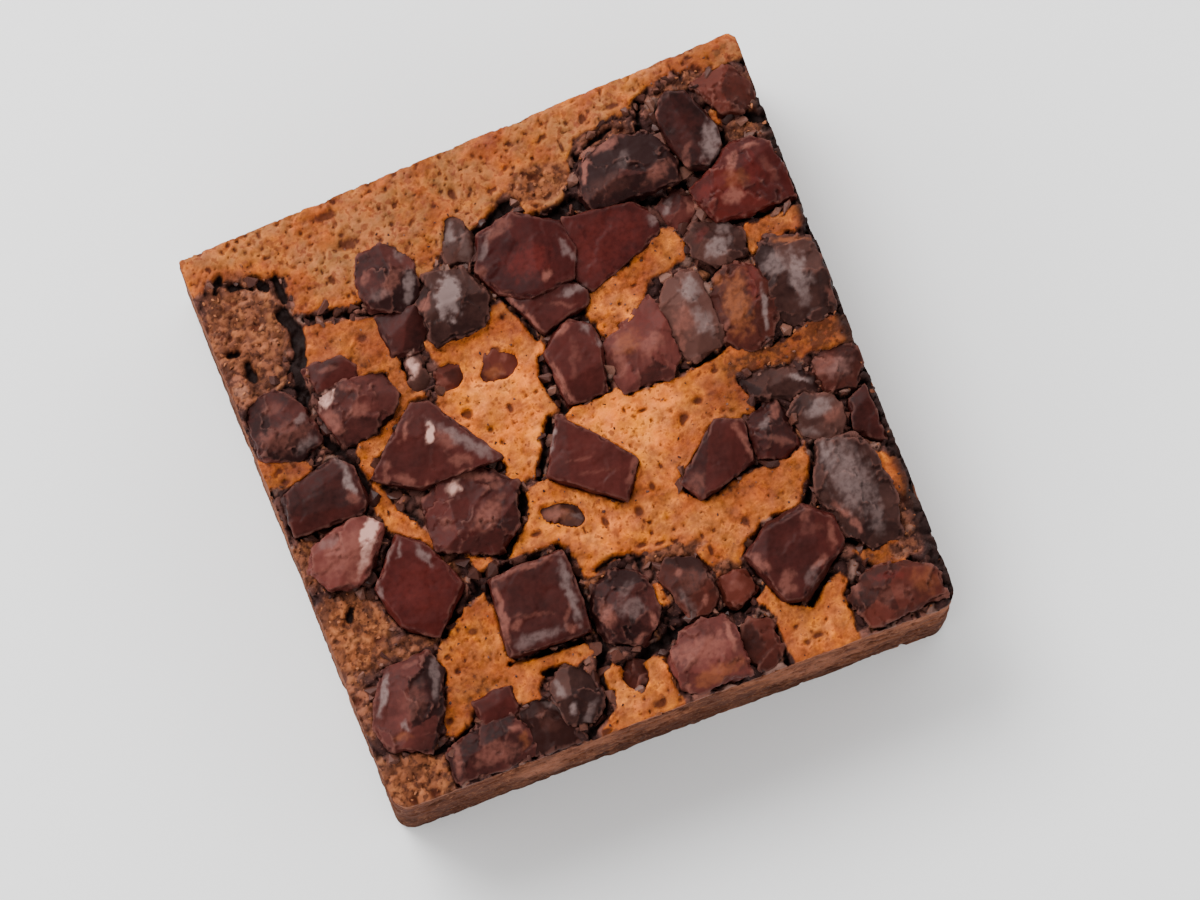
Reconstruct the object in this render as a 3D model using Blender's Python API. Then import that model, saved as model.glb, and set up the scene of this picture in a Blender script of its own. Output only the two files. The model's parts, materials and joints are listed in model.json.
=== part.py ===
"""A square of fudge brownie, cut from a tray, with broken chocolate chunks baked into its top.

The slab stands on the table with its top crust CRUST_MM above it. The chunks were pushed into the
batter before baking, so each sits in a pocket of its own and stands a little proud of the crust.
Plan places are in millimetres from a mark near the middle of the top: x to the right, y to the back.
"""

import math
import random
from collections import namedtuple

import bmesh
import bpy
from mathutils import Vector, geometry, noise

MM = 0.001

# The slab
CRUST_MM = 24.0
FRONT_LEFT = (-37.2, -37.5)
FRONT_RIGHT = (38.2, -37.5)
BACK_RIGHT = (37.6, 41.2)
BACK_LEFT = (-38.8, 37.9)
MIDDLE = (-0.3, 1.76)
CORNER_ROUND_MM = {"front_left": 2.2, "front_right": 2.6, "back_right": 1.2, "back_left": 0.5}
CELLS_ACROSS = 33
CELLS_DEEP = 34
SIDE_LEVELS = (0.8, 0.52, 0.24, 0.025)
FOOT_INSET_MM = 0.5
SIDE_WAVE_MM = 0.22
SIDE_WAVE_LENGTH_MM = 7.0
SIDE_WAVE_SQUASH = 1.6

# The crust's own relief
SWELL_MM = 0.55
SWELL_LENGTH_MM = 13.0
RIPPLE_MM = 0.3
RIPPLE_LENGTH_MM = 5.0
DIP_MM = 0.6
DIP_WIDTH_MM = 2.2
RIM_DROP_MM = 0.35
RIM_WIDTH_MM = 1.5
CRUMB_DROP_MM = 0.7
CRUMB_ROUGH_MM = 0.55
CRUMB_LENGTH_MM = 2.6
CRUMB_FADE = (1.25, 0.5)

# The chunks and their pockets
SUNK_MM = 4.6
SHRINK_MM = 0.22
POCKET_GAP_MM = 0.35
FLAT_DOME_MM = 0.2
FLAT_WEAR_MM = 0.45
CORNER_WEAR_MM = 1.0
MOST_WEAR = 0.38
LEAST_MITRE = 0.5
RIM_WEAR_MM = 0.65
CHIP_MM = 0.12
LEAN_FROM_MM = 1.0
CUTTER_TOP_MM = CRUST_MM + 8.0

# Cracks in the crust
CRACK_DEPTH_MM = 1.9
CRACK_WIDTH_MM = 1.0
CRACK_OVER_MM = 1.2
CRACK_END_WIDTH = 0.35
CRACK_END_DEPTH = 0.6

TINY_M = 1e-6

# Colours are linear red, green and blue, then roughness
CRUMB_LOOK = ((0.50, 0.23, 0.09), 0.85)
TONES = {
    "dark": ((0.060, 0.020, 0.018), 0.38),
    "ruddy": ((0.105, 0.020, 0.018), 0.30),
    "mauve": ((0.150, 0.075, 0.066), 0.55),
    "grey": ((0.150, 0.112, 0.098), 0.60),
    "brown": ((0.165, 0.075, 0.042), 0.62),
}

# One chunk: the corners of its outline, how far its middle stands above the crust, how its top leans
# (millimetres up for each millimetre right and back), how far its top is domed, and its tone
Chunk = namedtuple("Chunk", "corners rise lean dome tone")

CHUNKS = [
    # Back left, behind the pale fold of crust
    Chunk([(-18.6, 25.0), (-18.0, 28.6), (-15.5, 30.8), (-12.6, 29.6), (-11.2, 26.2), (-13.0, 22.0),
           (-16.5, 22.5)], 1.7, (0.04, 0.02), 0.7, "mauve"),
    Chunk([(-17.5, 21.9), (-13.0, 21.4), (-12.7, 18.6), (-14.2, 16.6), (-17.3, 17.2)],
          0.7, (0.0, 0.04), 0.3, "dark"),
    Chunk([(-12.2, 21.5), (-9.7, 24.6), (-5.6, 24.0), (-3.9, 20.0), (-5.6, 16.8), (-11.5, 16.2)],
          1.9, (-0.05, 0.0), 0.8, "grey"),
    Chunk([(-6.9, 27.6), (-4.8, 31.9), (-3.0, 29.0), (-3.5, 24.8), (-6.6, 25.2)],
          1.0, (-0.08, 0.0), 0.4, "grey"),
    # The big glossy group behind the middle
    Chunk([(-3.5, 23.0), (-1.8, 27.0), (2.5, 28.2), (7.9, 25.0), (8.4, 21.2), (6.9, 18.4), (0.8, 18.0),
           (-2.2, 20.2)], 1.5, (0.02, -0.05), 0.4, "ruddy"),
    Chunk([(9.1, 25.2), (17.2, 24.2), (19.4, 21.9), (19.2, 20.1), (9.2, 16.4), (8.1, 17.4)],
          1.1, (-0.02, 0.03), 0.1, "ruddy"),
    Chunk([(-2.0, 19.4), (0.9, 17.6), (6.8, 18.0), (8.6, 16.0), (7.3, 13.9), (4.8, 13.8), (1.3, 12.5)],
          1.0, (0.04, 0.05), 0.3, "dark"),
    Chunk([(0.3, 10.4), (2.3, 12.4), (5.0, 13.4), (7.3, 11.6), (7.6, 8.5), (6.1, 2.9), (0.9, 3.0)],
          1.4, (0.05, 0.0), 0.3, "dark"),
    # The back right corner
    Chunk([(12.3, 28.0), (13.6, 31.4), (18.5, 33.2), (23.0, 31.5), (24.2, 28.0), (23.7, 25.6),
           (13.0, 25.8)], 1.9, (0.0, -0.05), 0.6, "mauve"),
    Chunk([(24.4, 31.0), (25.2, 36.0), (28.0, 36.8), (30.2, 33.0), (31.5, 28.4), (29.8, 25.8),
           (26.8, 25.2), (25.0, 28.0)], 1.8, (0.02, 0.02), 0.6, "dark"),
    Chunk([(30.6, 36.4), (35.2, 36.6), (36.8, 34.0), (36.4, 31.4), (32.5, 31.8)],
          0.9, (0.0, 0.0), 0.5, "brown"),
    Chunk([(25.4, 24.0), (28.6, 24.4), (32.2, 27.2), (35.6, 26.2), (36.8, 22.5), (36.8, 18.8),
           (27.0, 18.9)], 1.7, (0.0, -0.03), 0.7, "ruddy"),
    Chunk([(20.1, 21.6), (21.5, 23.8), (24.8, 23.7), (24.7, 21.0), (22.9, 19.0)],
          0.9, (-0.05, 0.0), 0.4, "mauve"),
    # The row of four behind the right of the middle
    Chunk([(22.4, 16.5), (23.2, 18.6), (26.0, 18.9), (28.5, 17.2), (29.1, 14.7), (26.5, 13.0),
           (23.8, 14.3)], 1.4, (-0.04, 0.06), 0.7, "grey"),
    Chunk([(8.0, 4.5), (8.2, 8.8), (12.3, 10.2), (14.9, 12.4), (16.0, 9.4), (15.8, 4.3), (14.4, 2.6),
           (8.5, 2.6)], 1.6, (0.0, -0.05), 0.5, "mauve"),
    Chunk([(16.5, 9.8), (18.3, 13.8), (21.5, 13.2), (22.3, 9.6), (21.9, 4.2), (18.0, 3.4),
           (16.5, 5.6)], 1.8, (-0.05, 0.0), 0.7, "grey"),
    Chunk([(22.9, 9.8), (24.3, 12.0), (27.5, 12.3), (29.6, 10.5), (29.0, 4.0), (27.4, 1.9),
           (23.4, 2.8), (22.6, 5.5)], 1.7, (0.05, 0.0), 0.6, "brown"),
    Chunk([(30.2, 12.4), (32.5, 13.9), (36.8, 12.6), (36.8, 3.8), (34.5, 2.4), (31.3, 3.0),
           (30.0, 5.5)], 1.6, (0.0, 0.04), 0.6, "grey"),
    # The broken run down the right side
    Chunk([(22.8, -1.7), (26.8, -1.3), (31.3, -3.6), (31.2, -5.8), (27.6, -5.3), (23.9, -4.2)],
          0.9, (0.0, 0.08), 0.3, "grey"),
    Chunk([(31.9, -2.4), (36.9, -1.8), (36.9, -6.0), (34.0, -7.5), (31.9, -5.2)],
          1.0, (0.03, 0.03), 0.5, "brown"),
    Chunk([(21.4, -6.5), (25.2, -5.2), (26.8, -8.5), (26.1, -11.7), (24.0, -12.6), (21.0, -11.6)],
          1.1, (-0.04, 0.0), 0.5, "dark"),
    Chunk([(10.6, -11.2), (17.7, -5.0), (20.7, -6.6), (20.4, -12.0), (12.2, -14.2)],
          1.5, (0.03, 0.03), 0.2, "dark"),
    Chunk([(27.8, -6.4), (31.0, -6.8), (32.8, -9.0), (32.4, -12.0), (29.0, -12.0), (27.3, -10.2)],
          1.2, (0.0, 0.05), 0.5, "grey"),
    Chunk([(34.3, -8.4), (36.9, -7.2), (37.0, -15.0), (35.4, -14.6), (33.5, -12.4)],
          0.2, (0.0, 0.0), 0.3, "dark"),
    Chunk([(26.6, -18.8), (28.8, -12.8), (32.5, -13.2), (34.1, -16.0), (34.9, -21.5), (34.0, -26.5),
           (30.8, -27.0), (28.3, -24.5)], 1.9, (0.03, 0.0), 0.7, "grey"),
    # Front right
    Chunk([(14.8, -22.6), (19.2, -19.8), (24.0, -19.2), (27.0, -21.7), (27.4, -25.6), (24.4, -27.6),
           (20.3, -30.8), (17.3, -29.8)], 1.8, (0.0, 0.03), 0.4, "dark"),
    Chunk([(25.5, -32.5), (28.5, -29.9), (33.5, -30.6), (36.8, -33.0), (36.6, -36.0), (27.0, -36.5)],
          1.3, (0.0, 0.03), 0.5, "brown"),
    Chunk([(1.6, -31.2), (5.0, -28.8), (9.5, -28.4), (10.6, -31.0), (10.2, -36.6), (2.3, -36.6),
           (1.4, -34.0)], 1.6, (0.0, 0.02), 0.4, "mauve"),
    Chunk([(11.1, -31.5), (13.6, -30.0), (15.2, -33.0), (14.6, -36.6), (10.8, -36.6)],
          0.9, (0.0, 0.05), 0.4, "brown"),
    # Between the middle and the front
    Chunk([(-4.9, -20.6), (-2.6, -18.8), (0.4, -18.7), (2.2, -20.8), (2.4, -24.8), (1.0, -28.0),
           (-3.2, -28.3), (-5.0, -26.0)], 1.6, (0.03, 0.03), 0.6, "mauve"),
    Chunk([(3.9, -21.0), (5.5, -19.6), (9.0, -20.4), (10.0, -23.0), (10.0, -26.8), (8.4, -27.9),
           (6.0, -27.6)], 1.4, (0.0, 0.0), 0.5, "brown"),
    Chunk([(10.7, -24.2), (14.4, -24.0), (15.0, -27.0), (12.0, -28.3), (10.6, -27.2)],
          0.6, (0.0, 0.0), 0.4, "brown"),
    Chunk([(-16.3, -14.3), (-6.2, -14.0), (-6.3, -24.9), (-17.3, -24.5)],
          1.9, (0.01, 0.01), 0.15, "dark"),
    # Front left
    Chunk([(-32.5, -20.3), (-27.0, -20.3), (-25.5, -22.7), (-28.3, -29.7), (-30.5, -31.9),
           (-35.2, -29.8), (-35.9, -26.5)], 1.7, (0.03, 0.0), 0.5, "mauve"),
    Chunk([(-28.2, -33.2), (-24.5, -31.7), (-20.0, -31.7), (-18.5, -33.5), (-18.7, -36.5),
           (-28.3, -36.5)], 1.4, (0.0, 0.03), 0.5, "mauve"),
    Chunk([(-23.0, -28.2), (-18.8, -28.2), (-18.5, -30.9), (-22.6, -31.1)],
          0.5, (0.0, 0.0), 0.3, "dark"),
    Chunk([(-18.0, -31.6), (-15.2, -30.2), (-13.9, -33.0), (-12.5, -36.4), (-18.1, -36.6)],
          0.9, (0.0, 0.03), 0.5, "brown"),
    Chunk([(-13.0, -28.8), (-9.6, -28.5), (-8.3, -31.0), (-9.1, -34.5), (-11.4, -35.6),
           (-13.5, -32.5)], 1.3, (0.0, 0.0), 0.7, "grey"),
    Chunk([(-4.7, -30.0), (-1.9, -29.8), (-1.5, -32.6), (-3.2, -34.2), (-4.9, -32.6)],
          0.5, (0.0, 0.0), 0.3, "brown"),
    # Down the left side
    Chunk([(-35.6, -3.0), (-32.0, -1.6), (-28.2, -1.6), (-26.4, -3.2), (-28.4, -6.6), (-31.5, -8.9),
           (-35.2, -8.2), (-36.4, -5.5)], 2.2, (0.04, 0.02), 0.8, "mauve"),
    Chunk([(-37.1, 4.6), (-33.0, 6.0), (-29.3, 7.3), (-27.3, 5.5), (-26.8, 0.5), (-28.0, -0.9),
           (-37.1, -0.7)], 1.6, (-0.02, 0.0), 0.15, "dark"),
    Chunk([(-37.3, 16.9), (-33.0, 17.5), (-30.7, 14.5), (-30.2, 10.2), (-33.2, 8.9), (-37.2, 10.6)],
          1.4, (0.03, 0.0), 0.6, "mauve"),
    Chunk([(-28.3, 18.6), (-24.5, 18.8), (-22.7, 17.0), (-23.2, 15.9), (-27.6, 16.0)],
          0.7, (0.0, 0.0), 0.3, "dark"),
    Chunk([(-28.5, 13.5), (-27.2, 15.3), (-20.0, 15.1), (-19.2, 12.0), (-20.6, 10.3), (-25.0, 8.3),
           (-27.0, 8.7)], 1.6, (-0.04, 0.0), 0.5, "mauve"),
    # Left of the middle
    Chunk([(-24.8, 3.0), (-17.4, 9.4), (-15.8, 9.0), (-10.2, 0.1), (-20.0, 0.1)],
          2.0, (0.02, 0.04), 0.6, "dark"),
    Chunk([(-20.4, -2.0), (-17.5, -0.4), (-12.3, -1.0), (-9.3, -4.0), (-10.8, -8.6), (-14.0, -10.8),
           (-20.4, -8.1)], 2.1, (0.02, -0.02), 0.7, "dark"),
    Chunk([(-30.0, -10.4), (-25.2, -4.9), (-22.2, -7.0), (-19.1, -13.8), (-24.6, -18.8),
           (-28.6, -16.0)], 1.7, (-0.02, 0.02), 0.1, "ruddy"),
    # The middle
    Chunk([(-4.8, -4.6), (-0.9, 2.2), (6.8, -6.4), (3.6, -11.0)], 1.7, (-0.02, 0.02), 0.15, "dark"),
    Chunk([(-7.4, -7.7), (-3.2, -8.5), (-1.8, -10.8), (-3.0, -11.8), (-6.7, -9.8)],
          0.5, (0.0, 0.0), 0.3, "grey"),
    Chunk([(-8.4, 10.0), (-6.5, 12.7), (-3.4, 12.3), (-2.7, 10.8), (-4.6, 9.3)],
          0.3, (0.0, 0.0), 0.2, "brown"),
    Chunk([(-13.7, 12.3), (-12.0, 13.8), (-9.9, 12.4), (-10.6, 10.4), (-13.5, 10.4)],
          0.3, (0.0, 0.0), 0.2, "brown"),
    Chunk([(-16.9, 11.7), (-16.4, 16.3), (-14.6, 15.8), (-14.4, 11.5)],
          0.7, (-0.06, 0.0), 0.3, "grey"),
]

# Places where the crust has broken away to rough crumb: middle, then half widths right and back
CRUMB_PATCHES = [
    ((-33.5, 26.0), (6.0, 7.5)),
    ((-34.5, -14.5), (4.5, 6.0)),
    ((-33.5, -34.5), (5.5, 4.0)),
    ((34.5, 29.0), (3.5, 2.5)),
    ((17.0, 34.5), (5.0, 1.8)),
    ((1.0, -17.6), (5.5, 1.4)),
    ((-12.0, -26.5), (6.0, 1.6)),
    ((30.0, -28.6), (4.5, 1.6)),
    ((-27.0, -18.6), (4.0, 1.6)),
]

# Cracks, each a run of points
CRACKS = [
    [(-36.0, 34.2), (-33.2, 32.6), (-30.2, 31.9), (-28.0, 30.2), (-28.0, 26.0), (-29.4, 20.6)],
    [(-26.6, 25.8), (-22.2, 24.6), (-19.3, 23.6)],
    [(-2.4, 28.3), (0.4, 29.4), (3.6, 30.6)],
    [(9.4, 26.6), (11.6, 27.8), (11.4, 31.0), (12.4, 34.9)],
    [(14.2, 33.4), (17.6, 34.9), (21.6, 33.4)],
    [(-18.0, -26.2), (-14.5, -25.9), (-12.8, -27.6)],
    [(-3.6, -17.4), (0.6, -16.8), (5.0, -17.7), (8.2, -18.8)],
]


def clear_scene():
    """Removes whatever the file opened with."""
    for old in list(bpy.data.objects):
        bpy.data.objects.remove(old, do_unlink=True)


def place(x_mm, y_mm, z_mm):
    """A plan place and a height, in metres from the point under the slab's middle."""
    return Vector(((x_mm - MIDDLE[0]) * MM, (y_mm - MIDDLE[1]) * MM, z_mm * MM))


def finish(name, look):
    """A material with the piece's colour and roughness."""
    colour, rough = look
    material = bpy.data.materials.new(name)
    material.use_nodes = True
    shader = material.node_tree.nodes["Principled BSDF"]
    shader.inputs["Base Color"].default_value = (*colour, 1.0)
    shader.inputs["Roughness"].default_value = rough
    shader.inputs["Metallic"].default_value = 0.0
    return material


def add_object(name, bm, material):
    """Turns a bmesh into a named object in the scene."""
    bmesh.ops.recalc_face_normals(bm, faces=bm.faces)
    mesh = bpy.data.meshes.new(name)
    bm.to_mesh(mesh)
    bm.free()
    piece = bpy.data.objects.new(name, mesh)
    bpy.context.scene.collection.objects.link(piece)
    if material:
        mesh.materials.append(material)
    return piece


def grow(outline, by):
    """The outline with each straight edge moved out by a distance, or in where it is negative."""
    points = [Vector(p) for p in outline]
    count = len(points)
    area = sum(points[i].x * points[i - 1].y - points[i - 1].x * points[i].y for i in range(count))
    side = 1.0 if area > 0 else -1.0
    grown = []
    for i, here in enumerate(points):
        before = (here - points[i - 1]).normalized()
        after = (points[(i + 1) % count] - here).normalized()
        out_before = Vector((-before.y, before.x)) * side
        out_after = Vector((-after.y, after.x)) * side
        bisector = (out_before + out_after).normalized()
        grown.append(here + bisector * by / max(bisector.dot(out_before), LEAST_MITRE))
    return grown


def worn_block(chunk, growth, low_mm, high_mm):
    """An upright block on a chunk's outline, grown by growth, with its corners worn."""
    outline = grow(chunk.corners, growth)
    shortest = min((outline[i] - outline[i - 1]).length for i in range(len(outline)))
    bm = bmesh.new()
    bed = bm.faces.new([bm.verts.new(place(x, y, low_mm)) for x, y in outline])
    raised = bmesh.ops.extrude_face_region(bm, geom=[bed])["geom"]
    for vert in raised:
        if isinstance(vert, bmesh.types.BMVert):
            vert.co.z = high_mm * MM
    bmesh.ops.recalc_face_normals(bm, faces=bm.faces)
    upright = [e for e in bm.edges if abs(e.verts[0].co.z - e.verts[1].co.z) > MM]
    wear = FLAT_WEAR_MM if chunk.dome < FLAT_DOME_MM else CORNER_WEAR_MM
    wear = min(wear, shortest * MOST_WEAR)
    bmesh.ops.bevel(bm, geom=upright, offset=wear * MM, segments=1, affect="EDGES")
    return bm


def upper_face(bm):
    """The highest face of a block."""
    return max(bm.faces, key=lambda face: face.calc_center_median().z)


def crumb_share(x, y):
    """1 in the middle of a patch of bare crumb, falling to 0 at its edge."""
    outer, width = CRUMB_FADE
    share = 0.0
    for (cx, cy), (wide, deep) in CRUMB_PATCHES:
        away = math.hypot((x - cx) / wide, (y - cy) / deep)
        share = max(share, min(1.0, max(0.0, (outer - away) / width)))
    return share


def from_chunk(x, y):
    """How far a plan place lies from the nearest chunk's outline."""
    spot = Vector((x, y, 0.0))
    nearest = DIP_WIDTH_MM
    for chunk in CHUNKS:
        corners = [Vector((*corner, 0.0)) for corner in chunk.corners]
        for here, after in zip(corners, corners[1:] + corners[:1]):
            foot, share = geometry.intersect_point_line(spot, here, after)
            foot = here.lerp(after, min(1.0, max(0.0, share)))
            nearest = min(nearest, (foot - spot).length)
    return nearest


def ripple(x, y, length):
    """Smooth noise between -1 and 1, whose bumps are about length apart."""
    return noise.noise(Vector((x / length, y / length, length)))


def crust_level(x, y, from_side):
    """The height of the top at a plan place that is from_side inside the cut edge."""
    level = CRUST_MM + SWELL_MM * ripple(x, y, SWELL_LENGTH_MM)
    level += RIPPLE_MM * ripple(x, y, RIPPLE_LENGTH_MM)
    level -= DIP_MM * (1 - from_chunk(x, y) / DIP_WIDTH_MM) ** 2
    bare = crumb_share(x, y)
    level -= bare * (CRUMB_DROP_MM - CRUMB_ROUGH_MM * ripple(x, y, CRUMB_LENGTH_MM))
    return level - RIM_DROP_MM * max(0.0, 1.0 - from_side / RIM_WIDTH_MM)


def plan_point(across, deep):
    """A plan place from two shares, 0 to 1, with the slab's corners rounded."""
    front = Vector(FRONT_LEFT).lerp(Vector(FRONT_RIGHT), across)
    back = Vector(BACK_LEFT).lerp(Vector(BACK_RIGHT), across)
    spot = front.lerp(back, deep)
    width = FRONT_RIGHT[0] - FRONT_LEFT[0]
    depth = BACK_RIGHT[1] - FRONT_RIGHT[1]
    row = "front" if deep < 0.5 else "back"
    column = "left" if across < 0.5 else "right"
    radius = CORNER_ROUND_MM[f"{row}_{column}"]
    in_x = max(0.0, radius - min(across, 1 - across) * width)
    in_y = max(0.0, radius - min(deep, 1 - deep) * depth)
    if in_x > 0 and in_y > 0:
        pull = 1 - max(in_x, in_y) / math.hypot(in_x, in_y)
        spot.x += in_x * pull * (1 if column == "left" else -1)
        spot.y += in_y * pull * (1 if row == "front" else -1)
    return spot


def wavy(spot, height_mm):
    """A point of the cut side, moved in or out a little as a knife leaves it."""
    middle = Vector(MIDDLE)
    out = (spot - middle).normalized()
    wave = noise.noise(Vector((*spot, height_mm * SIDE_WAVE_SQUASH)) / SIDE_WAVE_LENGTH_MM)
    return spot + out * wave * SIDE_WAVE_MM


def edge_walk():
    """The grid places round the slab's edge, once round."""
    across, deep = CELLS_ACROSS, CELLS_DEEP
    walk = [(i, 0) for i in range(across)]
    walk += [(across, j) for j in range(deep)]
    walk += [(i, deep) for i in range(across, 0, -1)]
    walk += [(0, j) for j in range(deep, 0, -1)]
    return walk


def build_slab():
    """The slab without its pockets: a grid for the crust, rows down the sides and a flat underside."""
    bm = bmesh.new()
    top = {}
    side = FRONT_RIGHT[0] - FRONT_LEFT[0]
    for i in range(CELLS_ACROSS + 1):
        for j in range(CELLS_DEEP + 1):
            across, deep = i / CELLS_ACROSS, j / CELLS_DEEP
            spot = plan_point(across, deep)
            from_side = side * min(across, 1 - across, deep, 1 - deep)
            if from_side == 0:
                spot = wavy(spot, CRUST_MM)
            top[i, j] = bm.verts.new(place(spot.x, spot.y, crust_level(spot.x, spot.y, from_side)))
    for i in range(CELLS_ACROSS):
        for j in range(CELLS_DEEP):
            bm.faces.new((top[i, j], top[i + 1, j], top[i + 1, j + 1], top[i, j + 1]))
    walk = edge_walk()
    above = [top[step] for step in walk]
    for level in (*SIDE_LEVELS, 0.0):
        below = []
        for i, j in walk:
            spot = plan_point(i / CELLS_ACROSS, j / CELLS_DEEP)
            spot = wavy(spot, level * CRUST_MM)
            if level == 0.0:
                spot -= (spot - Vector(MIDDLE)).normalized() * FOOT_INSET_MM
            below.append(bm.verts.new(place(spot.x, spot.y, level * CRUST_MM)))
        for k in range(len(walk)):
            after = (k + 1) % len(walk)
            bm.faces.new((above[k], below[k], below[after], above[after]))
        above = below
    bm.faces.new(above[::-1])
    return add_object("brownie", bm, finish("baked_crumb", CRUMB_LOOK))


def build_pocket_cutter(index, chunk):
    """A block a little larger than the chunk, from its bed up through the crust."""
    bed = CRUST_MM - SUNK_MM - POCKET_GAP_MM
    bm = worn_block(chunk, POCKET_GAP_MM - SHRINK_MM, bed, CUTTER_TOP_MM)
    return add_object(f"pocket_cutter_{index:02d}", bm, None)


def build_crack_cutter(index, run):
    """A blade with a V section that follows a crack and thins out at both ends."""
    bm = bmesh.new()
    points = [Vector(p) for p in run]
    sections = []
    for k, here in enumerate(points):
        ahead = points[min(k + 1, len(points) - 1)] - points[max(k - 1, 0)]
        across = Vector((-ahead.y, ahead.x)).normalized()
        is_end = k in (0, len(points) - 1)
        width = CRACK_WIDTH_MM * (CRACK_END_WIDTH if is_end else 1.0)
        depth = CRACK_DEPTH_MM * (CRACK_END_DEPTH if is_end else 1.0)
        half = across * width / 2 * (1 + CRACK_OVER_MM / CRACK_DEPTH_MM)
        sections.append([
            bm.verts.new(place(here.x - half.x, here.y - half.y, CRUST_MM + CRACK_OVER_MM)),
            bm.verts.new(place(here.x + half.x, here.y + half.y, CRUST_MM + CRACK_OVER_MM)),
            bm.verts.new(place(here.x, here.y, CRUST_MM - depth)),
        ])
    for near, far in zip(sections, sections[1:]):
        for k in range(3):
            bm.faces.new((near[k], near[(k + 1) % 3], far[(k + 1) % 3], far[k]))
    bm.faces.new(sections[0][::-1])
    bm.faces.new(sections[-1])
    bmesh.ops.triangulate(bm, faces=bm.faces)
    return add_object(f"crack_cutter_{index}", bm, None)


def cut_pockets(slab):
    """Cuts every pocket and crack out of the slab in one Boolean, then drops the cutters."""
    cutters = bpy.data.collections.new("cutters")
    bpy.context.scene.collection.children.link(cutters)
    tools = [build_pocket_cutter(n, chunk) for n, chunk in enumerate(CHUNKS, 1)]
    tools += [build_crack_cutter(n, run) for n, run in enumerate(CRACKS, 1)]
    for tool in tools:
        bpy.context.scene.collection.objects.unlink(tool)
        cutters.objects.link(tool)
        tool.hide_render = True
        tool.display_type = "WIRE"
    cut = slab.modifiers.new("pockets", "BOOLEAN")
    cut.operation = "DIFFERENCE"
    cut.operand_type = "COLLECTION"
    cut.collection = cutters
    cut.solver = "EXACT"
    bpy.context.view_layer.update()
    evaluated = slab.evaluated_get(bpy.context.evaluated_depsgraph_get())
    carved = bpy.data.meshes.new_from_object(evaluated)
    slab.modifiers.clear()
    slab.data = carved
    for tool in tools:
        bpy.data.objects.remove(tool, do_unlink=True)
    bpy.data.collections.remove(cutters)
    bm = bmesh.new()
    bm.from_mesh(carved)
    bmesh.ops.remove_doubles(bm, verts=bm.verts, dist=TINY_M)
    bmesh.ops.dissolve_degenerate(bm, edges=bm.edges, dist=TINY_M)
    bm.to_mesh(carved)
    bm.free()


def build_chunk(index, chunk):
    """A broken block of chocolate: worn corners and rim, a domed and leaning top, a flat bed."""
    chips = random.Random(index)
    bm = worn_block(chunk, -SHRINK_MM, CRUST_MM - SUNK_MM, CRUST_MM + chunk.rise)
    rim = list(upper_face(bm).edges)
    rim_wear = min(RIM_WEAR_MM, min(edge.calc_length() for edge in rim) / MM)
    bmesh.ops.bevel(bm, geom=rim, offset=rim_wear * MM, segments=2, affect="EDGES", profile=0.5)
    top = upper_face(bm)
    for vert in top.verts:
        vert.co.z += chips.uniform(-CHIP_MM, CHIP_MM) * MM
    crown = bmesh.ops.poke(bm, faces=[top])["verts"][0]
    crown.co.z += chunk.dome * MM
    middle = crown.co.copy()
    lean = Vector(chunk.lean)
    for vert in bm.verts:
        if vert.co.z > (CRUST_MM - LEAN_FROM_MM) * MM:
            vert.co.z += lean.dot((vert.co - middle).to_2d())
    look = TONES[chunk.tone]
    return add_object(f"chunk_{index:02d}", bm, finish(f"{chunk.tone}_chocolate_{index:02d}", look))


def main():
    clear_scene()
    slab = build_slab()
    cut_pockets(slab)
    for index, chunk in enumerate(CHUNKS, 1):
        build_chunk(index, chunk)


main()
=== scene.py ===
"""The looks of a square of fudge brownie: crackled tan crust, baked-in chocolate and knife-cut sides.

Plan places are in millimetres from a mark near the middle of the top: x to the right, y to the back.
Heights are in millimetres above the table.
"""

import json
import math
import random

import bmesh
import bpy
import numpy as np
from mathutils import Matrix, Vector, noise


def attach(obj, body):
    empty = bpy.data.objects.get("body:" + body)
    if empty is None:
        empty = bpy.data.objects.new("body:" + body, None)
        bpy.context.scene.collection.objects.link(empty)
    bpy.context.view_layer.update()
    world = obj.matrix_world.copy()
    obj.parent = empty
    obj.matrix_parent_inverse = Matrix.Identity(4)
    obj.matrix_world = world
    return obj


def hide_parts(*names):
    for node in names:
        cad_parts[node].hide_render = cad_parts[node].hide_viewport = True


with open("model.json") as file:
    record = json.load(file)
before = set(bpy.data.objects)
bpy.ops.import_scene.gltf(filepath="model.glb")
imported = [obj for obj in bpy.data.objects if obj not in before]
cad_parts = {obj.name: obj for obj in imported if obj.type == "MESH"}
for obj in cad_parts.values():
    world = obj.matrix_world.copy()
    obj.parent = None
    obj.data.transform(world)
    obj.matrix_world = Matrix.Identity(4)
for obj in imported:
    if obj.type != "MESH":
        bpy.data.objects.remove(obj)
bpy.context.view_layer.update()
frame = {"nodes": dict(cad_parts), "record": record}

MM = 0.001
TINY = 1e-6

# The slab, as the solid has it
CRUST_MM = 24.0
MARK = (-0.3, 1.76)
FRONT_LEFT = (-37.2, -37.5)
FRONT_RIGHT = (38.2, -37.5)
BACK_RIGHT = (37.6, 41.2)
BACK_LEFT = (-38.8, 37.9)
CORNER_ROUND_MM = {"front_left": 2.2, "front_right": 2.6, "back_right": 1.2, "back_left": 0.5}
# The level of the crust swells and ripples over these lengths
SWELL_MM = 0.55
SWELL_LENGTH_MM = 13.0
RIPPLE_MM = 0.3
RIPPLE_LENGTH_MM = 5.0

# How finely the pieces are drawn
CRUST_CELL_MM = 0.262
SIDE_CELL_MM = 0.36
CHUNK_CELL_MM = 0.23

# The crust: thin tan plates over broken chocolate and crumb
CRUST_SEED = 11
PLATE_EDGE_MM = 0.3
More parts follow.
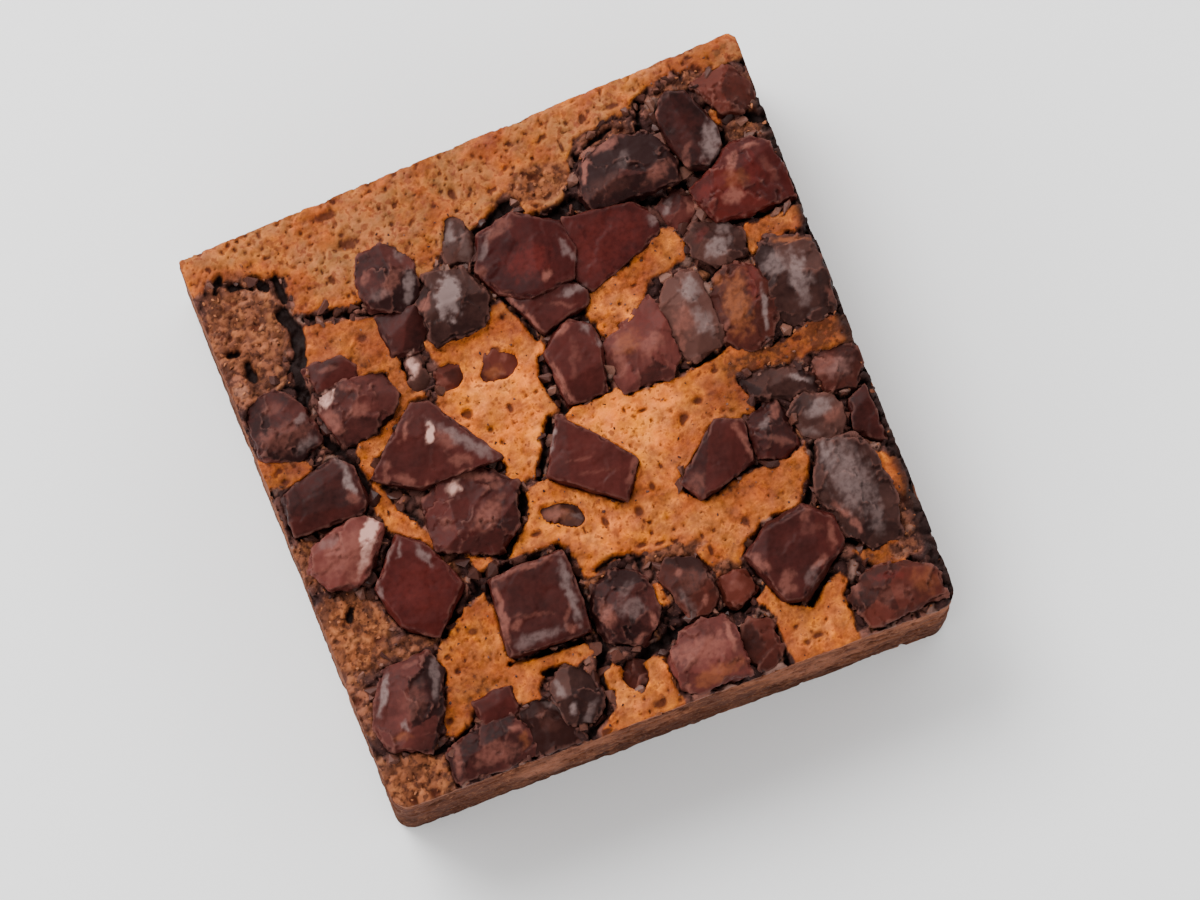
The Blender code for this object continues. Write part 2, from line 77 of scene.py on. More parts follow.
# Ragged edges, as two noises: how far, how wide, seed and octaves
JAGS = ((0.6, 2.6, 1.0, 2), (0.4, 0.9, 2.0, 1))
CURL_MM = 0.12
CURL_WIDTH_MM = 0.6
PLATE_WAVE_MM = 0.22
PLATE_WAVE_SIZE_MM = 1.6
FLAKE_MM = 1.15
FLAKE_RISE_MM = 0.22
FLAKE_TILT = 0.12
FLAKE_PATCH_MM = 6.0
FLAKY_LEVELS = (-0.15, 0.25)
FLAKE_SEAM = 0.25
# Small round shapes by chance: how many, how wide, how deep, and between which places from front to back
PORES = (2000, (0.2, 0.5), (0.3, 1.0), (-38, 42))
BACK_PORES = (1100, (0.2, 0.55), (0.4, 1.0), (24, 42))
BLISTERS = (900, (0.4, 1.1), (0.3, 1.0), (-38, 42))
SOWN_ACROSS = (-39, 39)
SOWN_WIDTH = (0.7, 1.0)
SOWN_LENGTH = (0.7, 1.35)
PORE_MM = 0.4
PIT_REACH = 1.2
BLISTER_MM = 0.18
# Broken ground: the lumps' size, rise and lean, coarse in patches and where there is room
RUBBLE_MM = 2.4
RUBBLE_PATCH_MM = 4.2
RUBBLE_LEVELS = (-0.12, -0.02)
RUBBLE_ROOM_MM = (0.6, 1.4)
RUBBLE_DROP_MM = 0.15
RUBBLE_RISE_MM = 1.1
RUBBLE_TILT = 0.3
BITS_MM = 1.2
BITS_RISE_MM = 0.7
BITS_TILT = 0.35
GRAIN_MM = 1.35
GRAIN_RISE_MM = 0.4
GRAIN_TILT = 0.22
GRAIN_DROP_MM = 0.15
GRAIN_SEAM = 0.55
GRAINY_JAG = 1.2
WARP_MM = 0.55
WARP_SIZE_MM = 1.4
SEAM_WIDTH = 0.25
SEAM_DROP = 0.6
# A dark gap round most of each chunk, as deep as this, where the crust hasn't climbed up its side
MOAT_MM = 1.1
MOAT_WIDTH_MM = (-0.15, 0.6)
MOAT_SIZE_MM = 3.6
MOAT_EDGE_MM = 0.3
CLIMB_MM = 0.6
CLIMB_WIDTH_MM = 0.6
CLIMB_CHANCE = (0.4, 1.5)
UNDER_CHUNK_MM = 0.5
POCKET_FLOOR_MM = 2.0
NARROW_MM = 1.6
NARROW_DROP_MM = 0.1
CREVICE_MM = 1.2
CREVICE_EDGE_MM = 0.4
CLEFT_JAG = 0.6
GLOOM_FROM_MM = 0.3
TINT_FADE = 1.2
TINT_LIMITS = (-1.15, 1.0)
# The right-hand edge is painted darker, short of its back corner: painted shade on the side away from the key
# light
RIGHT_EDGE_SHADE_MM = (2.0, 0.4)
RIGHT_EDGE_SHADE_BACK = (36.0, 32.0)
# Nearest the pan's wall, at the back, the crust dried out to a duller, golden tan
DRY_BACK = (18.0, 28.0)
RIM_DROP_MM = 0.3
RIM_WIDTH_MM = 1.2
LID_MM = 1.3
LID_INSET_MM = 0.9
LID_FLOOR_MM = 18.8
LID_STEPS = 4
CRUST_LOOKS = ("plate", "grainy", "grain_tan", "pit", "gloom", "tint", "seam", "chance", "flake", "dim",
               "dry")

# The cut sides: how deep and how wide each kind of mark is, and how much it is squashed flat
SIDE_WAVE_MM = 0.2
SIDE_WAVE_SIZE_MM = 7.0
SIDE_WAVE_SQUASH = (1, 1, 1.6)
SIDE_GRAIN_MM = 0.1
SIDE_GRAIN_SIZE_MM = 1.5
SIDE_HOLE_MM = 0.5
SIDE_HOLE_SIZE_MM = 2.6
SIDE_HOLE_SQUASH = (1, 1, 1.4)
SIDE_HOLE_LEVELS = (0.34, 0.6)
SIDE_PORE_SIZE_MM = 1.0
SIDE_PORE_LEVELS = (0.34, 0.55)
SIDE_PORE_SHARE = 0.5
SIDE_PATCH_MM = 7.0
SIDE_PATCH_SHARE = 0.14
SIDE_TEAR_MM = 0.25
SIDE_TEAR_SIZE_MM = 4.2
SIDE_TEAR_SQUASH = (1, 1, 0.55)
SIDE_TEAR_LEVELS = (0.25, 0.6)
# Tears are painted half as dark as holes, as painted shade
SIDE_TEAR_GLOOM = 0.5
RIM_HOLD = 0.4
FOOT_MM = 0.7
FOOT_PULL = 0.6
# The crumb's hidden top ends inside the crust's
CRUMB_INSET_MM = 0.99
CRUMB_TOP_MM = 18.4

# The chunks, crisp where they snapped clean and rough where they crumbled
BED_MM = 0.1
CROWN_MM = 1.0
UPWARD = 0.7
BLOCK_TOP_MM = 27.2
CHUNK_FOOT_MM = 20.9
CHUNK_GROW_MM = {"crisp": 0.35, "rough": 0.6}
CROWDED_GROW_MM = 0.95
CROWDED = (1, 2, 3, 5, 6, 9, *range(11, 21), 23, 25, 35, 36, 37, 38, 42, 43, 44, 45, 46, 50)
CHUNK_TOP_MM = 27.3
CORNER_BACK = 0.95
LEAST_MITRE = 0.5
SIDE_INSET_MM = 0.05
BEVEL_SLOPE = {"crisp": (58, 86), "rough": (50, 86)}
BEVEL_TURN = (-8, 8)
BEVEL_BITE_MM = {"crisp": (0.0, 0.25), "rough": (0.0, 0.5)}
FACET_COUNT = {"crisp": 2, "rough": 4}
FACET_SLOPE = {"crisp": (4, 16), "rough": (10, 32)}
FACET_TURN = (-30, 30)
FACET_BITE_MM = {"crisp": (0.0, 0.25), "rough": (0.2, 1.0)}
BREAK_MM = {"crisp": 4.2, "rough": 3.6}
BREAK_RISE_MM = {"crisp": 0.0, "rough": 0.05}
BREAK_TILT = {"crisp": 0.02, "rough": 0.1}
BREAK_BOWL_MM = {"crisp": 0.0, "rough": 0.12}
BREAK_BOWL_RIM = 0.7
BREAK_WARP_MM = 0.7
BREAK_WARP_SIZE_MM = 1.2
BREAK_SHADE = 0.35
WEAR_MM = {"crisp": 0.05, "rough": 0.09}
WEAR_SIZE_MM = 2.6
RAGGED_MM = {"crisp": 0.25, "rough": 0.45}
RAGGED_SIZE_MM = 1.7
RAGGED_STEEP = (0.8, 0.4)
CHIP_MM = {"crisp": 0.35, "rough": 0.45}
CHIP_SIZE_MM = 1.5
CHIP_LEVELS = (0.15, 0.5)
CHIP_EDGE = (0.02, 0.12)
EDGE_ROUNDS = 2
EDGE_GAIN = 5.0
FACET_SHADE = {"crisp": 0.45, "rough": 0.95}
SUNK_FROM_MM = 0.3
SUNK_OVER_MM = 2.0
CRISP_TONES = ("dark", "ruddy")
CRUMBLED = (12, 21, 46)

# The marks on the chunks: how far their edges wander, and how softly they end
MARK_UPWARD = (-0.1, 0.5)
MARK_REACH_MM = 3
MARK_SHIFT_MM = 0.45
MARK_SHIFT_SIZE_MM = 1.3
MARK_WANDER = 0.5
MARK_WANDER_SIZE_MM = 0.8
MARK_FADE = (1.45, 0.5)

# Loose bits: their shapes, then how many, how wide, and how far apart at least
BIT_CORNERS = 11
BIT_TILT = 0.5
BIT_SHAPE = ((0.7, 1.3), (0.5, 0.9), (0.7, 1.1))
BIT_SMALLNESS = 1.6
BIT_FROM_SIDE = 0.65
SHARDS = (1700, (0.6, 3.0), 0.8)
CRUMBS = (900, (0.3, 0.8), 0.5)
DUST = (1100, (0.2, 0.6), 0.8)

# Finishes. A cloudy pattern mostly runs between these shares, with this much finer detail in it
CLOUDY = (0.35, 0.65)
GLOSS_FROM = (0.3, 0.7)
CLOUD_DETAIL = 4.0
# How far the tints and the flakes carry the crust's colour, and the drift of its hue and strength
TINT_PULL = 0.42
FLAKE_PULL = 0.16
DRY_SPECKLE = 0.05
HUE_DRIFT = (0.4955, 0.5045)
TAN_STRENGTH = (0.985, 1.02)
# How far the clouds and the bloom carry the chocolate's colour, and how the bloom breaks up the marks
CLOUD_PULL = 1.1
BLOOM_PULL = 0.6
MARK_BREAKUP_FROM = (0.35, 0.55)
MARK_BREAKUP_LEAST = 0.6
# The colour of each kind of mark and the most of it that shows
MARK_SHADES = {"red": ("#551B17", 0.7), "toasted": ("#764026", 0.8), "rosy": ("#76463C", 0.78),
               "grey": ("#6C5956", 0.82), "pale": ("#B2867A", 0.9)}
# Each kind of chocolate: its darkest and lightest colours and its smoothest roughness
CHOCOLATES = {
    "dark": ("#190807", "#441A16", 0.4),
    "ruddy": ("#270A09", "#481814", 0.38),
    "mauve": ("#1D0908", "#542722", 0.45),
    "grey": ("#1E0C0A", "#462A24", 0.48),
    "brown": ("#200A07", "#4C2018", 0.48),
}

# The floor, the camera and the key light
FLOOR_HALF_M = 3.0
FLOOR_CELLS = 8
CAMERA_AWAY_M = 0.85
CAMERA_AZIMUTH = -20.6
CAMERA_ELEVATION = 80.2
CAMERA_AIM_MM = (3.0, -5.3, 23.6)
CAMERA_LENS_MM = 202.5
CAMERA_NEAREST_M = 0.05
KEY_AZIMUTH = 114.0
KEY_ELEVATION = 54.0
KEY_AWAY_M = 0.9
KEY_SIZE_M = 0.5
KEY_WATTS = 9.6
# The room is dim overhead and bright lower down, more so on the key's side
SKY_STRENGTH = 3.15
SKY_OVERHEAD = 0.05
SKY_FADE = (0.87, 0.4)
SKY_LEAN = 0.4

# The tan plates of crust, as outlines. Where one runs under a chunk, the chunk's own edge shows
PLATES = [
    # Along the back, with its tongues between the chunks
    [(-41, 44), (-41, 32.9), (-37.2, 33.1), (-36.2, 34.5), (-33.4, 33.2), (-30.4, 32.6),
     (-27.2, 31.2), (-26.9, 28.4), (-27.7, 26.4), (-25, 25.5), (-22.6, 25.7), (-20.2, 24.2),
     (-15, 25), (-9.6, 25.5), (-8, 26.4), (-5, 30), (-2.8, 28), (-0.4, 29.4), (2.6, 31.8),
     (3.9, 30.4), (4.3, 28), (7, 27.6), (9.8, 28.6), (11.6, 30.4), (12.4, 33.4), (13.4, 35.2),
     (17, 35.6), (21.4, 36.2), (22.8, 37.4), (25.6, 38.5), (28.4, 39), (30.6, 38), (33.6, 37.2),
     (36, 37.4), (41, 38.4), (41, 44)],
    # The orange sheet at the left
    [(-28.6, 19.5), (-27.2, 24.3), (-25, 24.3), (-22.4, 23.4), (-19.6, 22.8), (-17.3, 22.2),
     (-16.8, 17.8), (-16.8, 12.4), (-15.2, 10.6), (-17.4, 10.2), (-20, 8.8), (-22.6, 6.2), (-24.4, 5),
     (-24.7, 1.2), (-23.2, -2.4), (-21, -5.8), (-19.6, -9.2), (-20.8, -11.6), (-22.4, -7.6),
     (-25.9, -3.4), (-26.5, -0.6), (-25.5, 2.6), (-26.3, 5.4), (-25.9, 7.8), (-22, 10.4), (-18.6, 12.6),
     (-19.4, 15.4), (-22.6, 15.8), (-23, 18)],
    # The palest sheet, left of the middle
    [(-13.4, 16.8), (-9, 17.2), (-4.6, 17.4), (-2.2, 18.6), (-0.8, 16), (0.2, 12.6), (0.7, 11.2),
     (-0.3, 9.4), (-1.2, 7.6), (-0.8, 5.2), (-0.1, 2.9), (-1.9, 2.7), (-4.4, -1), (-6.2, -4.2),
     (-9.9, -4.1), (-9.2, -1), (-11, 1.6), (-13.4, 5.2), (-14.8, 8.2), (-13.8, 10), (-12.4, 13.8)],
    # Right of the middle, behind
    [(8, 15.8), (13.5, 17.5), (19.6, 20.2), (21.5, 19.8), (22.4, 17.6), (20.6, 15.2), (16.6, 14.6),
     (13, 11.4), (12.4, 9), (8.7, 8.9), (7.8, 10.4), (7.3, 13.2)],
    # The large sheet round the middle chunk, and its arm to the right side
    [(0.4, 2.5), (7.2, 2.9), (9.2, 1.9), (16, 1.8), (20.2, 2.7), (23, 3.2), (25.6, 2.6), (27.6, 1),
     (30, 1.1), (32.6, 2.7), (36, 2.3), (40, 1.4), (40, -1.6), (34.6, -1.6), (31.6, -1.5),
     (26.6, -1), (22.4, -0.6), (22.2, -1.8), (23.3, -3.8), (22.5, -6.6), (20.6, -6), (17, -7),
     (11.2, -9.8), (10.4, -12.4), (12.4, -14), (20, -12.6), (24.4, -12.9), (27.3, -11.6), (26.2, -16),
     (23.7, -18.9), (19, -19.4), (15.4, -21.4), (13.8, -23.8), (10.8, -23.6), (9.4, -20), (5.6, -18.7),
     (1.6, -17.4), (-1.4, -17.3), (-4.6, -18.6), (-5.3, -13.5), (-8.4, -12.8), (-13.4, -12.5),
     (-12.2, -11), (-8.3, -8), (-8.1, -5.6), (-6.6, -4.6), (-4.6, -4.4), (-1, 0)],
    # Small pieces left of the middle
    [(-17.8, -10.4), (-14.8, -11.3), (-14.4, -12.8), (-17.4, -12.8)],
    [(-38.9, 10.4), (-35.6, 9.8), (-32.2, 7.6), (-32, 6.1), (-35, 5.4), (-38.9, 6.4)],
    # Front left of the middle, under the square chunk
    [(-24.9, -19.6), (-20.4, -17), (-17.4, -15.3), (-16, -18), (-16.6, -24.4), (-13.2, -25.5),
     (-7.6, -25.9), (-6.9, -27.4), (-9.6, -28.3), (-13, -27), (-14.8, -28.8), (-15.6, -30.4),
     (-18.8, -29.8), (-19, -27.6), (-22.4, -28.3), (-24.8, -30.3), (-27, -31.7), (-28.9, -30.6),
     (-28.3, -28.5), (-26.9, -27.6), (-25.3, -23.6), (-25.9, -21.4)],
    # Along the front
    [(-7.3, -30.6), (-5.2, -29), (-4.2, -30.4), (-4.6, -33), (-3, -34.4), (-1.7, -33),
     (-1.6, -30.7), (0.9, -30.6), (1.1, -33), (0.9, -36.4), (1.4, -40), (-10.2, -40), (-9.6, -36.8),
     (-7, -34.8), (-6.5, -33)],
    [(2.5, -21.6), (3.8, -21.7), (4.1, -24.8), (3, -25.4), (2.3, -23.6)],
    [(14, -28.4), (16.4, -27.2), (17.4, -29.8), (20.2, -31.4), (23.4, -29.4), (25.3, -28.6),
     (25.9, -30), (25.1, -32), (24.6, -34.8), (24.8, -40), (16.2, -40), (15.7, -34),
     (16, -31.4)],
    # Along the right side
    [(27.4, -26.6), (30.4, -27.1), (33.2, -26.9), (34.6, -29), (33.8, -31), (31.6, -30.5),
     (29.4, -29)],
    [(33.6, -15.3), (35.8, -16.4), (37.4, -17.8), (37.5, -22.2), (36, -22.7), (34.7, -20.6)],
    [(29.2, 15.8), (30.2, 17), (37.4, 17.1), (37.5, 14.6), (32.6, 14), (29.8, 13.6)],
    [(31, 33), (32.2, 32.2), (32, 30), (31, 30.6)],
]

# Places where the crust has broken away to rough grains: middle, then half widths right and back, and how
# tan the grains are
GRAINY = [
    ((-33.8, 26.2), (5.6, 6.8), 0.62), ((-36, 19), (3, 2.2), 0.45), ((-34.6, -14.6), (4.6, 5.2), 1),
    ((-36.6, -4), (1.6, 3.4), 0.55), ((-36.8, -23.5), (1.5, 4.5), 0.45), ((-33.6, -34.8), (5, 3.8), 0.8),
    ((-20.4, -11.6), (1.4, 2.2), 0.55), ((-28, -18.6), (3.4, 1.3), 0.45), ((-2.6, -19.2), (2.4, 0.9), 0.65),
    ((6.6, -19.2), (3.6, 1), 0.55), ((12.2, -24.6), (1.8, 2.2), 0.4), ((7.6, 31.2), (3.6, 2.2), 1),
    ((28.6, 37.2), (3.6, 1), 0.4), ((34.4, 28.8), (2.4, 1.2), 0.45), ((17.6, 34.2), (3.6, 1), 0.3),
    ((35.8, -24.6), (1.4, 2.4), 0.25), ((34.6, -28.8), (2, 1.4), 0.3), ((36.6, 33), (1.2, 3), 0.3),
]

# Places where the tan is paler (above 0) or a deeper orange brown (below 0)
TINTS = [
    ((-6.6, 5.6), (6.4, 8.6), 0.65), ((-8.4, -2), (2.4, 2.6), 0.5), ((6, -2), (6.6, 5), 1),
    ((13.6, 0.8), (8, 1.8), 0.6), ((-2, -10.6), (8, 3), 0.45), ((11, 13), (3.4, 3.4), 0.15),
    ((21.6, -2.6), (4, 4.6), -0.75), ((20.4, -15), (6.4, 2.6), -0.45), ((1, -14.6), (5, 2.6), 0.2),
    ((12, -19.6), (4, 4), -0.2), ((20.6, -33), (4.4, 4.4), 0.15), ((17.6, 16.4), (4.6, 2.6), -0.4),
    ((-22, 19.8), (6.4, 4.4), -0.4), ((-22.6, 12.6), (6, 5), -0.35), ((-24, -27.2), (4.6, 4), -0.6),
    ((-20.6, -19.4), (3.4, 3), 0.15), ((-22, 30), (6, 4.6), -0.2), ((-10, 31), (9, 7), -0.3),
    ((-33.6, 26), (5, 6.6), -0.35), ((0, 37.4), (14, 2.4), -0.25), ((7.6, 31.4), (4, 3), -0.2),
    ((30.6, 0.6), (8, 3), -1.15), ((33, 38.6), (5, 2), -0.65), ((31, -28.6), (3.4, 1.8), -0.7),
    ((33.6, 15.6), (4, 1.6), -0.3), ((-34.6, 7.4), (3.4, 2.4), -0.8), ((-34, -14.6), (4.4, 5), -0.3),
    ((-34, -35), (5, 4), -0.7), ((-4.6, -36), (5.4, 2.6), 0.2),
]

# Dark clefts: a run of points and how wide the cleft is
CLEFTS = [
    ([(-36, 32.6), (-34.6, 34.2)], 0.9),
    ([(-33.6, 32.6), (-31.4, 31.6)], 0.9),
    ([(-30.4, 32.2), (-29.6, 31)], 0.9),
    ([(-28, 31.8), (-27.9, 28.6)], 1),
    ([(-28.8, 27), (-27.9, 24.6), (-28.4, 21.6), (-29.6, 19.4), (-29.8, 17), (-30.6, 14.2)], 1.9),
    ([(-35.2, 22.2), (-35, 20.2)], 1.2),
    ([(-37, 24.4), (-35.8, 24.2)], 0.7),
    ([(-26.4, 25.3), (-24.6, 24.9), (-22.4, 24.7), (-20.2, 23.5), (-18.6, 23)], 0.8),
    ([(-30, 12.6), (-29, 9.6), (-27.7, 7.4), (-26.8, 4), (-26.4, 1.4)], 1.2),
    ([(-2.3, 27.9), (0.2, 28.8), (3.2, 30.4)], 1.3),
    ([(4.6, 27), (8, 26.9), (10.6, 27.6), (11.8, 26.4)], 1.3),
    ([(16.4, 24.9), (19.6, 24.8), (21.6, 23.6)], 1.3),
    ([(22.6, 24.5), (25, 24.5)], 0.9),
    ([(26.4, 18.3), (30, 18.1), (36.8, 18)], 0.9),
    ([(-2.6, 20), (-1.4, 18), (-0.4, 15), (0.2, 12.6)], 0.5),
    ([(-0.2, 10.2), (-0.9, 7.6), (-0.4, 5), (0.4, 2.6)], 0.7),
    ([(-1.9, 2.2), (-3.4, -0.8), (-5.6, -4.2)], 0.8),
    ([(-9.2, -4.4), (-8.9, -6.2), (-10.6, -8.6), (-12.6, -10.8), (-13.4, -11.8)], 1.7),
    ([(-17.2, -13.3), (-13, -13.4)], 0.7),
    ([(-10.8, -13.6), (-9.6, -13.6)], 0.6),
    ([(-6.8, -13.2), (-5.9, -15.4), (-5.9, -20), (-5.6, -24.4), (-5.6, -27.2), (-7.2, -29.4),
      (-7.6, -32.2), (-8.9, -35.4), (-11, -36.8)], 1),
    ([(-17.4, -25), (-12, -25.3), (-7.8, -25.4)], 0.6),
    ([(-13.6, -27.6), (-11, -28.1)], 0.9),
    ([(-30.4, -32.2), (-27.4, -32), (-25.4, -31.3), (-21.4, -31.4)], 0.9),
    ([(-28.9, -33.6), (-28.7, -37)], 0.6),
    ([(-27.4, -27), (-25.8, -23.2)], 0.5),
    ([(-18, -13.8), (-17.7, -15)], 0.8),
    ([(-21.8, -16.4), (-23.8, -18.6)], 0.8),
    ([(-34.4, -12.8), (-33.6, -11.4)], 0.8),
    ([(-3, -30.4), (0, -29.3), (3.6, -28.7), (5.8, -28.3)], 1.5),
    ([(9.6, -28), (12.6, -28.6), (15.4, -27)], 1),
    ([(14.4, -30.6), (15.2, -33.6), (15.2, -36.8)], 0.8),
    ([(24.4, -19.4), (26.2, -16.8), (27.9, -14.2), (28.2, -12.6)], 1),
    ([(27.6, -21.6), (27.8, -24.8), (29.6, -26.6)], 0.7),
    ([(20.6, -31.2), (22.6, -29.4), (24, -28.4)], 0.8),
    ([(10, 2.3), (15, 2.3), (21.4, 2.9)], 0.6),
    ([(22.4, -1.4), (23.4, -4.2), (23.4, -5.8)], 0.8),
    ([(35.2, -6.2), (36.8, -7)], 1.1),
    ([(35.4, 30.2), (37, 29.4)], 1.4),
    ([(31.7, 29.6), (31.3, 27)], 0.7),
    ([(22.9, 36.8), (21.8, 33.2)], 0.7),
    ([(12.8, 32.6), (15.4, 34), (18.4, 34.8)], 0.7),
    ([(-18.4, -36.9), (-17.8, -35)], 0.9),
    ([(-3.2, -17.7), (-0.4, -16.9), (2, -17.4)], 0.6),
]

# Larger pits in the tan: place, then half widths to the right and to the back
PITS = [
    (16.5, -2, 0.75, 0.5), (14.1, -3.4, 0.7, 0.55), (9.5, -0.7, 0.8, 0.3), (7.3, 0.1, 0.3, 0.5),
    (4.6, -12.6, 0.7, 0.8), (0.1, -12.4, 0.5, 0.9), (9.1, -8.1, 0.35, 0.4), (7.2, -10.2, 0.5, 0.6),
    (16.6, -18.6, 0.6, 0.7), (3.4, -16.7, 0.9, 0.4), (5.6, -17.3, 0.8, 0.35), (7.4, -17.7, 0.6, 0.3),
    (10.8, -18.4, 0.35, 0.5), (11.2, -20.4, 0.4, 0.7), (-6, 5.4, 0.45, 0.7), (-11.3, 6.6, 0.8, 0.7),
    (-9.3, 3.7, 0.45, 0.45), (-8.5, 1.7, 0.35, 0.4), (-5.1, 13.1, 0.75, 0.6), (-8.6, -10.8, 0.8, 0.4),
    (-2.9, 16.7, 0.35, 0.45), (11.6, 13.1, 0.4, 0.35), (14.1, 14.7, 0.5, 0.3), (10.6, 10.5, 0.35, 0.35),
    (-20.4, 20.4, 0.7, 0.6), (-17.9, 32.4, 1.3, 0.8), (-18.3, 33.8, 0.4, 0.4), (-21.4, 28.8, 0.5, 0.6),
    (-13.8, 31.4, 0.4, 0.4), (-19.4, 36.8, 1.7, 0.6), (-3.3, 33.8, 0.5, 1), (1.4, 32.5, 0.6, 0.4),
    (-10.6, 35.1, 0.4, 0.5), (7.1, 32.4, 0.8, 0.5), (11.8, 34.6, 0.35, 0.9), (13.4, 37.3, 0.4, 0.4),
    (15.6, 37.1, 0.6, 0.5), (19.6, 37.3, 1.1, 0.4), (10.1, 36.7, 0.5, 0.4), (31.6, 38, 0.6, 0.4),
    (35.6, 36.2, 0.5, 0.9), (-23.9, -23.7, 0.4, 0.5), (-24.4, -21.6, 0.5, 0.4), (-20.4, -19.6, 0.7, 0.6),
    (-27, -29.2, 0.6, 0.5), (20, -35.2, 0.9, 0.4), (18.4, -35.6, 0.5, 0.5), (-1.6, -36.4, 1, 0.6),
    (-9, -37.2, 0.8, 0.4), (-34.7, -36.9, 0.6, 0.7), (-31.8, -37, 0.9, 0.7), (-31.6, -16.4, 0.8, 0.5),
    (-32.6, 26.5, 0.6, 0.6), (-34, 30.3, 0.5, 0.4), (-37, -22.8, 0.6, 0.6), (36.6, -22.9, 0.8, 0.5),
    (19.8, 0.9, 0.6, 0.4), (31, 1, 0.7, 0.4), (-36, 8, 0.5, 0.4), (-35.8, 6.4, 0.6, 0.4),
]

# How light each chunk is for its kind of chocolate, by its number
CHUNK_SHADE = {
    1: 0.1, 2: 0.2, 3: 0.15, 4: 0.5, 5: 0.05, 6: 0.05, 7: 0.4, 8: 0.55, 9: -0.45, 10: -0.05, 11: 0.6,
    12: 0.7, 13: 0.35, 14: 0.55, 15: 0.8, 16: 1.5, 17: 0.3, 18: 0.1, 19: -0.05, 20: 0.1, 21: 0.35, 22: 0.3,
    23: 0.55, 24: 0.15, 25: 0.2, 26: 0.4, 27: 0.35, 28: 0.65, 29: 0.25, 30: -0.3, 31: 0.1, 32: 1.5,
    33: 0.35, 34: -0.05, 35: 0.1, 36: 0.55, 37: -0.6, 38: 0.1, 39: -0.15, 40: 0.7, 41: 0.05, 42: -0.05,
    43: 0.4, 44: -0.15, 45: 0.35, 46: 0.3, 47: 0.45, 48: 0.65, 49: 0.6, 50: 0.95, 51: 0.6, 52: 0.5,
}
